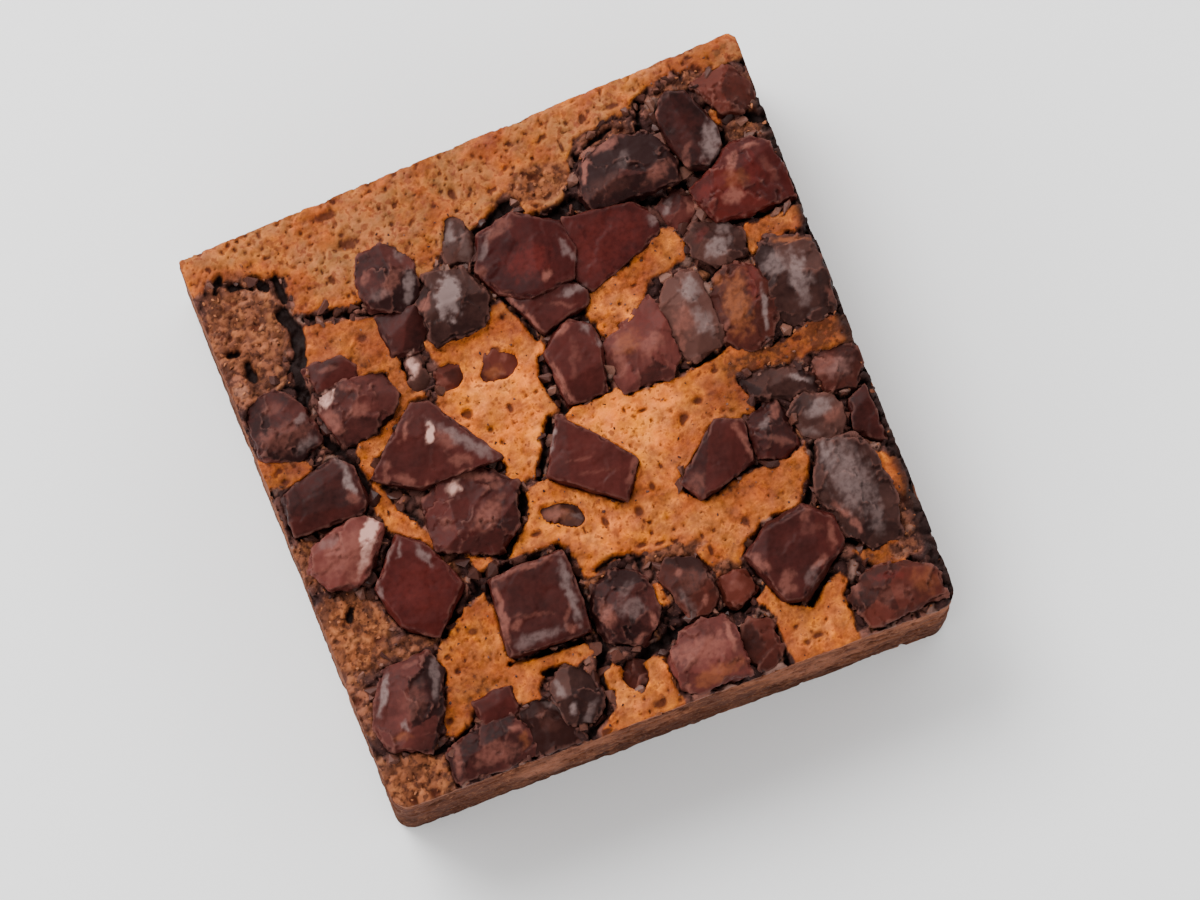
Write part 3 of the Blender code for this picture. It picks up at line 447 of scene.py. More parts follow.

# Marks on the chunks by how they look. Red and toasted are the chocolate's own reddened and crumbed tone;
# rosy, grey and pale are partly scuffs and bloom and partly painted highlights and reflections.
# Each mark: place, half length, half width, turn in degrees, and how strong
MARKS = {
    "red": [
        (2.6, 22, 2.6, 2, 0, 0.9), (13, 21, 5, 3, 20, 0.5), (26.9, 22.4, 1.4, 0.9, 0, 0.8),
        (33.4, 23.4, 1, 2.2, 0, 0.9), (24.4, 17.6, 1.2, 0.7, 40, 0.6), (13.6, 9.8, 1.4, 1, 0, 0.4),
        (28.2, 9.4, 2.6, 0.8, 80, 0.7), (31, -31.6, 2.2, 0.6, -15, 0.7), (-25, -12, 3.6, 2.6, 0, 0.4),
        (-25.6, -13, 2.6, 0.3, -20, 0.5),
    ],
    "toasted": [
        (30.8, 22.6, 1.6, 1.2, 0, 0.5), (10.6, 7.8, 1.8, 1.4, 30, 0.7), (25.4, 7.6, 3.6, 1.6, 78, 0.9),
        (24.2, 11.4, 0.9, 0.5, 45, 1), (34.6, 13.2, 2.2, 0.4, -18, 1.2), (35, -33.6, 1.6, 1.6, 0, 0.6),
        (6.4, -35.4, 3.2, 0.9, 5, 0.7), (-33.4, -29.2, 1.2, 0.5, -20, 0.6),
        (-19, -34.6, 1, 0.5, 60, 0.6), (-5, -9.4, 1.8, 0.9, -30, 0.4),
        (-6.2, 10.4, 1.3, 0.8, 20, 0.9),
    ],
    "rosy": [
        (-14.6, 25.4, 2.2, 0.8, 40, 0.6), (-17.2, 27.2, 0.9, 0.6, 50, 0.7),
        (-11.5, 21.3, 1, 0.6, 60, 0.8), (0.2, 27, 2.2, 0.8, 25, 0.55), (-3.2, 22.8, 0.9, 0.7, 0, 0.6),
        (4.2, 19.4, 0.7, 0.5, 40, 1), (-0.9, 18, 1.6, 0.35, 118, 0.9), (0.5, 14.4, 1.8, 0.35, 112, 0.9),
        (4.4, 15.4, 1.8, 0.3, -25, 0.4), (1.1, 6.2, 3, 0.45, 98, 0.9), (3.6, 12.2, 1.3, 0.45, 35, 0.8),
        (3.6, 8, 2.6, 0.5, 70, 0.25), (13.5, 30.6, 1.7, 0.4, 66, 1.3), (17.2, 32.6, 2, 0.5, 15, 0.8),
        (22, 27, 2.2, 0.9, 20, 0.55), (15.6, 27.6, 2.6, 1.2, 0, 0.15), (24.3, 34.4, 1.6, 0.5, 70, 0.8),
        (26.4, 28.2, 1, 0.5, 40, 0.4), (25.6, 26.4, 1.2, 0.5, 45, 0.6), (31.2, 24.8, 1.6, 0.6, 65, 0.9),
        (29.6, 20.6, 1.3, 0.7, 10, 1.1), (34, 26.2, 1, 0.5, -10, 0.9), (35.4, 22.6, 0.6, 2.2, 10, 0.5),
        (24.3, 21.7, 0.9, 0.5, 100, 1), (13.4, 6.4, 1.8, 1.2, 40, 0.7), (9, 6.4, 2.4, 0.6, 80, 0.6),
        (18.4, 8, 1.6, 1.2, 90, 0.9), (17.2, 5.8, 1, 0.5, 90, 0.7), (23.2, 5.6, 0.6, 0.5, 90, 0.8),
        (33.4, -3.8, 2.6, 1.4, -20, 0.5), (25.2, -6.4, 1.3, 0.5, 60, 0.8),
        (24.4, -10.6, 1.8, 0.5, -35, 0.5), (20, -9, 2.4, 0.4, 98, 0.8),
        (12.4, -12.2, 1.6, 0.9, 60, 0.45), (31.6, -9.6, 1.4, 0.8, 30, 0.6),
        (28.4, -21.6, 1.4, 0.5, 120, 0.8), (29.4, -24, 1.2, 0.5, 100, 0.8),
        (16.2, -24.2, 1.6, 0.7, 110, 0.75), (26, -24, 1.6, 0.5, 70, 0.6),
        (23.9, -20.6, 1.2, 0.5, 60, 0.5), (18.6, -28, 1.6, 0.9, 60, 0.6),
        (23.2, -27, 1.1, 0.6, 20, 0.8), (26.6, -31.4, 1.2, 0.5, 80, 0.7), (30.6, -34, 2, 1, 0, 0.3),
        (5.6, -32, 3.2, 1.6, 0, 0.75), (9.7, -31.6, 2, 0.4, 85, 1.2), (2.4, -31.2, 0.8, 0.5, 0, 0.8),
        (2.2, -36, 0.6, 0.6, 0, 0.9), (4, -33, 1.2, 0.5, -35, 0.5), (-4, -23.6, 1.4, 0.8, 90, 0.95),
        (1.3, -26.2, 0.9, 0.4, 110, 1), (-1.3, -28, 1.3, 0.4, 20, 0.8), (6.4, -21.8, 0.6, 0.5, 0, 0.9),
        (8.3, -26.2, 0.45, 0.4, 0, 1.3), (7.6, -23.6, 1.8, 1.6, 0, 0.3), (-16.2, -18.6, 4, 0.5, 84, 0.85),
        (-12, -14.6, 3.6, 0.4, 0, 0.6), (-15, -21.1, 0.7, 0.5, 30, 0.7),
        (-8.8, -23.8, 0.9, 0.4, -25, 0.8), (-8.6, -22, 1.4, 0.35, 60, 0.4),
        (-12.6, -20.6, 2.4, 0.3, -15, 0.35), (-30.4, -25.6, 2.2, 1.4, 60, 0.35),
        (-29.4, -20.9, 1.2, 0.4, 0, 0.4), (-23, -35.2, 2.4, 1.2, 0, 0.6),
        (-19.9, -33, 0.8, 0.6, 20, 1), (-27.8, -34.2, 2, 0.5, 80, 0.7),
        (-15.6, -33.6, 1.6, 1, 110, 0.15), (-31.8, -4.8, 3.4, 2.2, 20, 0.7),
        (-31, -7.6, 2.2, 0.6, 30, 0.8), (-28.4, 1.4, 1, 0.6, 90, 0.6), (-33.6, 11.6, 2.6, 1.6, 0, 0.45),
        (-36.4, 12.2, 0.7, 0.9, 0, 0.6), (-34.4, 15.6, 1.6, 0.8, 0, 0.3), (-27.6, 11.6, 2, 0.8, 110, 0.7),
        (-24, 11.6, 1.3, 0.8, 0, 0.7), (-24, 14.6, 1.4, 0.4, -30, 0.4),
        (-26, 18.1, 1.2, 0.3, -10, 0.5), (-15.2, 4, 1.6, 1, -50, 0.55),
        (-21.6, 1.2, 1.2, 0.5, -35, 0.6), (-19.4, 7, 1.5, 0.3, 48, 0.8), (-23.6, 3.2, 1.4, 0.5, 60, 0.6),
        (-14, 1, 1.4, 0.7, -20, 0.55), (-12.8, -1.5, 2.2, 0.5, -24, 0.9),
        (-20, -1.2, 1.4, 0.45, 40, 0.8), (-13.4, -6.6, 2.4, 1.3, 35, 0.65),
        (-11.6, -3.2, 1.2, 0.5, -10, 0.5), (-18.8, -6, 1.2, 0.6, 110, 0.4),
        (5.4, -7.8, 2, 0.5, 55, 0.5), (-0.4, -4, 1.8, 0.25, -8, 0.35), (1.4, -6.4, 2.4, 0.22, -12, 0.3),
        (-6, -9, 1.6, 0.6, -25, 0.6), (-12.9, 11.6, 0.8, 0.7, 0, 0.5), (36.8, 4.6, 0.4, 1.2, 0, 0.7),
        (24, -22.6, 1.4, 0.6, 0, 0.2), (-4.5, 11.9, 0.8, 0.4, 30, 0.9), (12.4, -25.8, 1, 0.7, 0, 0.5),
    ],
    "grey": [
        (-12.6, 24.4, 2.4, 0.6, 62, 0.8), (-12.3, 28.8, 0.8, 0.6, 90, 0.6), (-16.4, 24.4, 1.2, 0.8, 0, 0.4),
        (-8.5, 21.2, 2.6, 1.4, 80, 1.7), (-5.4, 29.2, 1.6, 0.55, 65, 0.9), (-4.2, 27, 1.6, 0.8, 75, 0.4),
        (-2, 25.6, 1.6, 0.5, 60, 0.5), (7.8, 21.6, 2, 0.5, 105, 0.6), (19.2, 21.6, 0.8, 0.6, 0, 0.7),
        (6.6, 16.6, 1.6, 0.6, 5, 0.75), (6.4, 11.6, 0.9, 0.5, 100, 0.7), (7.3, 9.2, 0.6, 0.5, 0, 0.8),
        (18.4, 29.8, 1.4, 0.6, 50, 0.3), (29.6, 28.2, 2.4, 1.1, 70, 0.85), (21.6, 22.4, 1.2, 0.4, 60, 0.8),
        (25.8, 15.4, 1.5, 1.1, 20, 1.3), (27.4, 17.6, 0.9, 0.7, 0, 0.6), (20.4, 11.6, 1.7, 1.2, 80, 1.1),
        (20.6, 7, 1.8, 1.2, 90, 0.8), (28.3, 5.4, 2.8, 0.4, 76, 1), (31.6, 10.8, 1.6, 1.4, 0, 0.8),
        (33.9, 8.4, 3.2, 1.1, 85, 0.85), (33.6, 5.2, 1, 0.8, 90, 0.6), (29.4, -3.8, 1.6, 0.35, -24, 1.1),
        (23.2, -7.8, 0.9, 0.5, 40, 0.7), (30.4, -8.4, 1.5, 1.1, 0, 1.1), (28.4, -10.8, 1.4, 0.5, -40, 0.5),
        (30.7, -18, 4.8, 2.3, 100, 0.6), (32, -24, 2, 0.9, 80, 0.5),
        (28.8, -14, 1.2, 0.6, 70, 0.8), (22, -28, 1.6, 0.6, 40, 0.4), (-1, -24, 1.7, 1.2, 0, 0.6),
        (-0.8, -21.6, 1.4, 0.5, 30, 0.4), (6, -25.6, 1.6, 0.5, 100, 0.4),
        (-7.3, -19, 4.4, 0.55, 88, 0.7), (-13, -23.4, 3, 0.7, 0, 0.5),
        (-33.6, -23.4, 2.6, 0.4, 60, 1), (-32.4, -28, 0.8, 0.4, 110, 0.8),
        (-26.8, -23.4, 2.4, 0.5, 70, 0.6), (-14.4, -31.8, 1.6, 0.4, 120, 0.5),
        (-12, -33.2, 0.7, 0.4, 70, 1.3), (-12.7, -30.4, 1.2, 0.5, 100, 0.8),
        (-10.2, -34.4, 1.4, 0.5, 40, 0.5), (-33.6, -3, 1.6, 0.5, 10, 0.4),
        (-28.2, 3.4, 1.8, 0.5, 95, 1.1), (-28.6, 6.2, 1.2, 0.5, 110, 0.5), (-31.2, 13.2, 0.8, 0.5, 20, 0.8),
        (-31.6, 10, 1.4, 0.6, 20, 0.5), (-13, 3, 4.6, 0.7, -50, 0.65),
        (-26.6, -6.4, 1.4, 0.35, 70, 0.8), (-25.4, -6.8, 1.2, 0.3, 62, 0.7),
        (-22.8, -8.6, 1.6, 0.5, 110, 0.7), (-29.6, -11.4, 1.6, 0.35, 75, 0.7),
        (-3.4, -1.8, 3.2, 0.3, 57, 1), (-2.8, -10.8, 1, 0.35, -35, 0.5), (34.4, -4.5, 1.8, 1.2, 0, 0.3),
    ],
    "pale": [
        (-27.9, -3.2, 2.2, 0.8, 52, 1.5), (-29.4, -5.8, 2.6, 0.6, 48, 0.6),
        (-27.4, 14.4, 1.3, 0.8, 40, 1.1), (-16.8, 5.4, 1.2, 0.42, 72, 1.6),
        (-16.2, -1.8, 0.9, 0.7, 20, 1.3), (-15.7, 14.8, 1.4, 0.5, 78, 1),
    ],
}


def smooth(low, high, value):
    """0 below low, 1 above high, and an even S between."""
    share = np.clip((value - low) / (high - low), 0.0, 1.0)
    return share * share * (3 - 2 * share)


def noise_map(x, y, size_mm, seed=0.0, octaves=1):
    """Noise of about -1 to 1 at each plan place, with lumps about size_mm across."""
    places = zip((x / size_mm).tolist(), (y / size_mm).tolist())
    if octaves == 1:
        return np.array([noise.noise((u, v, seed)) for u, v in places])
    return np.array([noise.fractal((u, v, seed), 1.0, 2.0, octaves) for u, v in places])


def noise_at(points, size_mm, seed=0.0, octaves=1):
    """Noise of about -1 to 1 at points in space, given in millimetres."""
    places = (points / size_mm + seed).tolist()
    return np.array([noise.fractal(p, 1.0, 2.0, octaves) for p in places])


def from_run(x, y, run):
    """The distance of each plan place from a run of straight lines."""
    nearest = np.full(x.shape, np.inf)
    for (ax, ay), (bx, by) in zip(run, run[1:]):
        dx, dy = bx - ax, by - ay
        share = np.clip(((x - ax) * dx + (y - ay) * dy) / (dx * dx + dy * dy), 0.0, 1.0)
        nearest = np.minimum(nearest, np.hypot(x - ax - share * dx, y - ay - share * dy))
    return nearest


def from_outline(x, y, outline):
    """The distance of each plan place from a closed outline, negative inside it."""
    closed = list(outline) + [outline[0]]
    inside = np.zeros(x.shape, bool)
    for (ax, ay), (bx, by) in zip(closed, closed[1:]):
        if ay != by:
            crosses = (ay > y) != (by > y)
            inside ^= crosses & (x < ax + (y - ay) * (bx - ax) / (by - ay))
    away = from_run(x, y, closed)
    return np.where(inside, -away, away)


def blob(x, y, middle, half, edge=0.6):
    """1 in the middle of an oval, falling to 0 at its edge; edge is the share of it that fades."""
    away = np.hypot((x - middle[0]) / half[0], (y - middle[1]) / half[1])
    return smooth(1.0 + edge / 2, 1.0 - edge / 2, away)


def put(name, data):
    """A new object in the scene, from its mesh, lamp or lens."""
    thing = bpy.data.objects.new(name, data)
    bpy.context.scene.collection.objects.link(thing)
    return thing


def mesh_of(bm, name):
    """The mesh of a finished bmesh."""
    mesh = bpy.data.meshes.new(name)
    bm.to_mesh(mesh)
    bm.free()
    return mesh


def chunk_outline(node):
    """The outline of a chunk's bed in plan millimetres, in order, read from its solid."""
    bm = bmesh.new()
    bm.from_mesh(node.data)
    bmesh.ops.remove_doubles(bm, verts=bm.verts, dist=TINY)
    bed_z = min(v.co.z for v in bm.verts)
    links = {}
    for edge in bm.edges:
        low = [v.co.z < bed_z + BED_MM * MM for v in edge.verts]
        on_bed = sum(all(v.co.z < bed_z + BED_MM * MM for v in face.verts) for face in edge.link_faces)
        if all(low) and on_bed == 1:
            for one, other in (edge.verts, reversed(edge.verts)):
                links.setdefault(one.index, []).append(other.index)
    bm.verts.ensure_lookup_table()
    start = next(iter(links))
    walk, last = [start], None
    while True:
        here = walk[-1]
        onward = [n for n in links[here] if n != last][0]
        if onward == start:
            break
        last = here
        walk.append(onward)
    outline = [(bm.verts[n].co.x / MM + MARK[0], bm.verts[n].co.y / MM + MARK[1]) for n in walk]
    bm.free()
    return outline


def in_part(x, y, z):
    """Points in the part's own frame, in metres, from plan places and heights."""
    return np.stack([(x - MARK[0]) * MM, (y - MARK[1]) * MM, z * MM], -1)


def plan_points(across, deep):
    """Plan places from two shares, 0 to 1, with the slab's corners rounded."""
    left = 1 - across
    front = [a * left + b * across for a, b in zip(FRONT_LEFT, FRONT_RIGHT)]
    back = [a * left + b * across for a, b in zip(BACK_LEFT, BACK_RIGHT)]
    x, y = [f * (1 - deep) + b * deep for f, b in zip(front, back)]
    width = FRONT_RIGHT[0] - FRONT_LEFT[0]
    depth = BACK_RIGHT[1] - FRONT_RIGHT[1]
    for row, from_row, turn_y in (("front", deep, 1), ("back", 1 - deep, -1)):
        for column, from_column, turn_x in (("left", across, 1), ("right", 1 - across, -1)):
            radius = CORNER_ROUND_MM[f"{row}_{column}"]
            in_x = np.maximum(0.0, radius - from_column * width)
            in_y = np.maximum(0.0, radius - from_row * depth)
            reach = np.hypot(in_x, in_y)
            both = (in_x > 0) & (in_y > 0)
            pull = np.where(both, 1 - np.maximum(in_x, in_y) / np.maximum(reach, TINY), 0.0)
            x = x + in_x * pull * turn_x
            y = y + in_y * pull * turn_y
    return x, y


def side_points(x, y, z):
    """Points of the cut sides, moved as the knife and the crumb leave them, and how dark each one is."""
    spots = np.stack([x, y, z], -1)
    out = np.stack([x - MARK[0], y - MARK[1]], -1)
    out /= np.linalg.norm(out, axis=1)[:, None]
    wave = noise_at(spots * SIDE_WAVE_SQUASH, SIDE_WAVE_SIZE_MM)
    grain = noise_at(spots, SIDE_GRAIN_SIZE_MM, 5.0, 3)
    # Holes of all sizes, in patches
    patch = SIDE_PATCH_SHARE * noise_at(spots, SIDE_PATCH_MM, 17.0)
    holes = smooth(*SIDE_HOLE_LEVELS, noise_at(spots * SIDE_HOLE_SQUASH, SIDE_HOLE_SIZE_MM, 9.0, 4) + patch)
    pores = smooth(*SIDE_PORE_LEVELS, noise_at(spots, SIDE_PORE_SIZE_MM, 19.0, 2) + patch)
    holes = np.maximum(holes, SIDE_PORE_SHARE * pores)
    tears = smooth(*SIDE_TEAR_LEVELS, noise_at(spots * SIDE_TEAR_SQUASH, SIDE_TEAR_SIZE_MM, 13.0, 2))
    foot = np.clip(1 - z / FOOT_MM, 0.0, 1.0) ** 2 * FOOT_MM * FOOT_PULL
    move = SIDE_WAVE_MM * wave + SIDE_GRAIN_MM * grain - SIDE_HOLE_MM * holes - SIDE_TEAR_MM * tears - foot
    rim_fade = smooth(0.0, 1.0, (CRUST_MM - z) / LID_MM) * (1 - RIM_HOLD) + RIM_HOLD
    move *= np.where(z > CRUST_MM - LID_MM, rim_fade, 1.0)
    return x + out[:, 0] * move, y + out[:, 1] * move, np.maximum(holes, SIDE_TEAR_GLOOM * tears)


def stamp(field, x, y, spot, reach, shape):
    """Adds a small shape to a field of values round one place, where shape gives it from the distance."""
    near = (np.abs(x - spot[0]) < reach[0]) & (np.abs(y - spot[1]) < reach[1])
    away = np.hypot((x[near] - spot[0]) / reach[0], (y[near] - spot[1]) / reach[1])
    field[near] += shape(np.clip(away, 0.0, 1.0))


def cells(places):
    """The lump that each place falls in: how far inside it, how far from its middle, its chance and its lean.

    The chance is a number from 0 to 1 that is the same all over a lump, made from where its middle lies.
    """
    found = np.zeros((len(places), 4))
    for k, place in enumerate(places.tolist()):
        away, middles = noise.voronoi(place)
        middle = middles[0]
        chance = math.sin(middle[0] * 91.7 + middle[1] * 47.3 + middle[2] * 13.9) * 437.5 % 1.0
        turn = chance * 40.0
        lean = (place[0] - middle[0]) * math.cos(turn) + (place[1] - middle[1]) * math.sin(turn)
        found[k] = away[1] - away[0], away[0], chance, lean
    return found.T


def second_chance(chance):
    """Another chance for each lump, from -0.5 to 0.5, drawn from its first."""
    return chance * 7.31 % 1.0 - 0.5


class Crust:
    """The relief and the look of the top, worked out at each point of a grid."""

    def __init__(self, x, y, outlines):
        self.x, self.y = x, y
        self.draws = random.Random(CRUST_SEED)
        nearest, second = np.sort(np.stack([from_outline(x, y, o) for o in outlines]), axis=0)[:2]
        self.gap = nearest - CHUNK_GROW_MM["crisp"]
        self.between = np.maximum(nearest, 0) + np.maximum(second, 0)
        self.jag = sum(reach * noise_map(x, y, size, seed, octaves) for reach, size, seed, octaves in JAGS)
        self.plate_away = np.min(np.stack([from_outline(x, y, o) for o in PLATES]), axis=0) + self.jag
        self.find_grainy()
        self.plate = smooth(PLATE_EDGE_MM / 2, -PLATE_EDGE_MM / 2, self.plate_away) * (1 - self.grainy)
        self.level = CRUST_MM + SWELL_MM * noise_map(x, y, SWELL_LENGTH_MM, SWELL_LENGTH_MM)
        self.level += RIPPLE_MM * noise_map(x, y, RIPPLE_LENGTH_MM, RIPPLE_LENGTH_MM)
        self.level -= RIM_DROP_MM * smooth(RIM_WIDTH_MM, 0.0, self.from_side())

        plates, flake_seam = self.raised_plates()
        bare, seam, bare_chance = self.broken_ground()
        grains, grain_seam, grain_chance = self.broken(
            GRAIN_MM, 5.0, GRAIN_RISE_MM, GRAIN_TILT, self.grainy > 0)
        top = plates * self.plate + bare * (1 - self.plate)
        top = top * (1 - self.grainy) + (self.level - GRAIN_DROP_MM + grains) * self.grainy
        self.sink(top - PORE_MM * self.pit)
        self.seam = seam * (1 - self.plate) * (1 - self.grainy) + GRAIN_SEAM * grain_seam * self.grainy
        self.seam += flake_seam
        self.chance = np.where(self.grainy > 0.5, grain_chance, bare_chance)

        tint = np.zeros(x.shape)
        for middle, half, amount in TINTS:
            tint += amount * blob(x, y, middle, half, TINT_FADE)
        self.tint = np.clip(tint, *TINT_LIMITS)
        self.dim = smooth(*RIGHT_EDGE_SHADE_MM, BACK_RIGHT[0] - x) * smooth(*RIGHT_EDGE_SHADE_BACK, y)
        self.dry = smooth(*DRY_BACK, y)

    def looks(self):
        """The values that the crust's finish reads, by name."""
        return {name: getattr(self, name) for name in CRUST_LOOKS}

    def find_grainy(self):
        """Where the crust has broken away to grains, and how tan they are."""
        self.grainy, self.grain_tan = np.zeros((2, len(self.x)))
        shift = GRAINY_JAG * self.jag
        for middle, half, tan in GRAINY:
            share = blob(self.x + shift, self.y - shift, middle, half)
            self.grain_tan = np.where(share > self.grainy, tan, self.grain_tan)
            self.grainy = np.maximum(self.grainy, share)

    def raised_plates(self):
        """The height of the tan plates, curled, blistered and flaking, and their flakes' seams."""
        x, y = self.x, self.y
        curl = CURL_MM * np.exp(-((self.plate_away + CURL_WIDTH_MM) / CURL_WIDTH_MM) ** 2)
        wave = noise_map(x, y, PLATE_WAVE_SIZE_MM, 8.0, 3)
        pits, blisters = np.zeros((2, len(x)))
        for pit_x, pit_y, across, deep in PITS:
            reach = (across * PIT_REACH, deep * PIT_REACH)
            stamp(pits, x, y, (pit_x, pit_y), reach, lambda away: 1 - away ** 3)
        self.sow(pits, *PORES)
        self.sow(pits, *BACK_PORES)
        self.pit = np.clip(pits, 0.0, 1.0) * np.clip(self.plate + self.grainy, 0.0, 1.0)
        self.sow(blisters, *BLISTERS)
        least, spread = CLIMB_CHANCE
        climb = np.clip(spread * noise_map(x, y, MOAT_SIZE_MM, 30.0, 2) + least, 0.0, 1.0)
        flakes, seam, self.flake = self.broken(FLAKE_MM, 6.0, FLAKE_RISE_MM, FLAKE_TILT, self.plate > 0)
        flaky = smooth(*FLAKY_LEVELS, noise_map(x, y, FLAKE_PATCH_MM, 14.0, 2))
        height = self.level + curl + PLATE_WAVE_MM * wave
        height = height + BLISTER_MM * np.clip(blisters, 0.0, 1.0) + flakes * flaky
        height += CLIMB_MM * climb * np.exp(-np.maximum(self.gap, 0.0) / CLIMB_WIDTH_MM)
        return height, FLAKE_SEAM * seam * flaky * self.plate

    def broken_ground(self):
        """The height, seams and chances of the broken chocolate and crumb between the plates."""
        bare = self.plate < 1
        rubble, rubble_seam, rubble_chance = self.broken(RUBBLE_MM, 3.0, RUBBLE_RISE_MM, RUBBLE_TILT, bare)
        bits, bits_seam, bits_chance = self.broken(BITS_MM, 4.0, BITS_RISE_MM, BITS_TILT, bare)
        coarse = smooth(*RUBBLE_LEVELS, noise_map(self.x, self.y, RUBBLE_PATCH_MM, 12.0))
        coarse = coarse * smooth(*RUBBLE_ROOM_MM, self.between)
        height = self.level - RUBBLE_DROP_MM + rubble * coarse + bits * (1 - coarse)
        height -= NARROW_DROP_MM * smooth(NARROW_MM, NARROW_MM / 2, self.between)
        chance = np.where(coarse > 0.5, rubble_chance, bits_chance)
        return height, rubble_seam * coarse + bits_seam * (1 - coarse), chance

    def sink(self, top):
        """Lowers the top in the clefts, round the chunks and under them, and finds where it lies in gloom."""
        clefts = np.zeros(top.shape)
        for run, width in CLEFTS:
            away = from_run(self.x, self.y, run) + CLEFT_JAG * self.jag
            fall = smooth(width / 2 + CREVICE_EDGE_MM / 2, width / 2 - CREVICE_EDGE_MM / 2, away)
            clefts = np.maximum(clefts, fall)
        width = MOAT_WIDTH_MM[0] + MOAT_WIDTH_MM[1] * noise_map(self.x, self.y, MOAT_SIZE_MM, 3.0, 2)
        width = np.maximum(width, 0.0)
        moat = smooth(width + MOAT_EDGE_MM / 2, width - MOAT_EDGE_MM / 2, self.gap)
        floor = CRUST_MM - POCKET_FLOOR_MM
        self.z = np.maximum(top - np.maximum(MOAT_MM * moat, CREVICE_MM * clefts), floor)
        self.z = np.where(self.gap < -UNDER_CHUNK_MM, floor, self.z)
        # The deeper the top lies, the darker it is painted: painted shade in the clefts and moats
        depth = (self.level - GLOOM_FROM_MM - self.z) / CREVICE_MM
        self.gloom = np.clip(np.maximum(depth, clefts), 0.0, 1.0)

    def broken(self, size_mm, seed, rise_mm, tilt, where):
        """Ground broken into lumps: their height, how near each place is to a seam, and their chances."""
        warp = WARP_MM * noise_map(self.x, self.y, WARP_SIZE_MM, seed + 40, 2)
        chosen = np.flatnonzero(where)
        level = np.full(warp.shape, seed)
        places = np.stack([(self.x + warp) / size_mm, (self.y - warp) / size_mm, level], -1)
        inside, chance, lean = np.zeros((3, len(warp)))
        inside[chosen], _, chance[chosen], lean[chosen] = cells(places[chosen])
        seam = smooth(SEAM_WIDTH, 0.0, inside)
        return rise_mm * (second_chance(chance) - SEAM_DROP * seam) + tilt * size_mm * lean, seam, chance

    def from_side(self):
        """How far each place lies inside the slab's cut edge."""
        corners = [FRONT_LEFT, FRONT_RIGHT, BACK_RIGHT, BACK_LEFT]
        return np.maximum(-from_outline(self.x, self.y, corners), 0.0)

    def sow(self, field, count, radius, depth, deep_range):
        """Scatters small round shapes over the crust by chance."""
        draws = self.draws
        for _ in range(count):
            spot = (draws.uniform(*SOWN_ACROSS), draws.uniform(*deep_range))
            wide = draws.uniform(*radius) * draws.uniform(*SOWN_WIDTH)
            long = wide * draws.uniform(*SOWN_LENGTH)
            height = draws.uniform(*depth)
            stamp(field, self.x, self.y, spot, (wide, long), lambda away: height * (1 - away ** 2))


def add_piece(name, mesh, material, looks, rounded=True):
    """Makes a mesh a piece of the brownie, with a value for each of its points under each look's name."""
    for look, values in looks.items():
        layer = mesh.attributes.new(look, "FLOAT", "POINT")
        layer.data.foreach_set("value", np.asarray(values, np.float32))
    mesh.materials.clear()
    mesh.materials.append(material)
    mesh.polygons.foreach_set("use_smooth", [rounded] * len(mesh.polygons))
    mesh.update()
    piece = put(name, mesh)
    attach(piece, "root")
    return piece


def shell(name, rings, faces):
    """A mesh from its points, ring after ring, and its faces."""
    mesh = bpy.data.meshes.new(name)
    mesh.from_pydata(np.concatenate(rings).tolist(), [], faces)
    return mesh


def ring_faces(above, below):
    """Quads between two rings of points that go round the same way."""
    after = [*range(1, len(above)), 0]
    return [(above[k], below[k], below[n], above[n]) for k, n in enumerate(after)]


def edge_walk(columns, rows):
    """Grid numbers once round the slab's edge."""
    walk = [(i, 0) for i in range(columns)]
    walk += [(columns, j) for j in range(rows)]
    walk += [(i, rows) for i in range(columns, 0, -1)]
    walk += [(0, j) for j in range(rows, 0, -1)]
    return walk


def edge_places(columns, rows):
    """Plan places once round the slab's edge."""
    walk = np.array(edge_walk(columns, rows), float)
    return plan_points(walk[:, 0] / columns, walk[:, 1] / rows)


def inset(x, y, by):
    """Plan places moved towards the slab's middle."""
    out_x, out_y = x - MARK[0], y - MARK[1]
    share = 1 - by / np.hypot(out_x, out_y)
    return MARK[0] + out_x * share, MARK[1] + out_y * share


def grid_counts(cell_mm):
    """How many cells the slab is across and deep."""
    width, depth = FRONT_RIGHT[0] - FRONT_LEFT[0], BACK_RIGHT[1] - FRONT_RIGHT[1]
    return round(width / cell_mm), round(depth / cell_mm)


def build_crust(outlines, material):
    """The top of the slab and the first millimetre of its sides, closed underneath."""
    columns, rows = grid_counts(CRUST_CELL_MM)
    across, deep = np.meshgrid(np.linspace(0, 1, columns + 1), np.linspace(0, 1, rows + 1))
    x, y = plan_points(across.ravel(), deep.ravel())
    crust = Crust(x, y, outlines)
    rim = [j * (columns + 1) + i for i, j in edge_walk(columns, rows)]
    x[rim], y[rim], _ = side_points(x[rim], y[rim], crust.z[rim])
    points = [in_part(x, y, crust.z)]
    looks = {look: [values] for look, values in crust.looks().items()}
    looks["side"] = [np.zeros(x.shape)]
    faces = []
    for j in range(rows):
        for i in range(columns):
            here = j * (columns + 1) + i
            faces.append((here, here + 1, here + columns + 2, here + columns + 1))
    # The wall under the rim, in steps, and then the hidden lid
    edge_x, edge_y = edge_places(columns, rows)
    rings = []
    for step in range(1, LID_STEPS + 1):
        share = step / LID_STEPS
        z = crust.z[rim] * (1 - share) + (CRUST_MM - LID_MM) * share
        side_x, side_y, _ = side_points(edge_x, edge_y, z)
        rings.append((share, side_x, side_y, z))
    rings.append((1.0, *inset(edge_x, edge_y, LID_INSET_MM), np.full(len(rim), LID_FLOOR_MM)))
    above, start = rim, len(x)
    for share, *places in rings:
        below = range(start, start + len(rim))
        points.append(in_part(*places))
        faces += ring_faces(above, below)
        for look, values in looks.items():
            values.append(np.full(len(rim), share) if look == "side" else values[0][rim])
        above, start = below, start + len(rim)
    faces.append(tuple(reversed(above)))
    looks = {look: np.concatenate(values) for look, values in looks.items()}
    piece = add_piece("baked_crust", shell("baked_crust", points, faces), material, looks)
    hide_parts("brownie")
    return crust


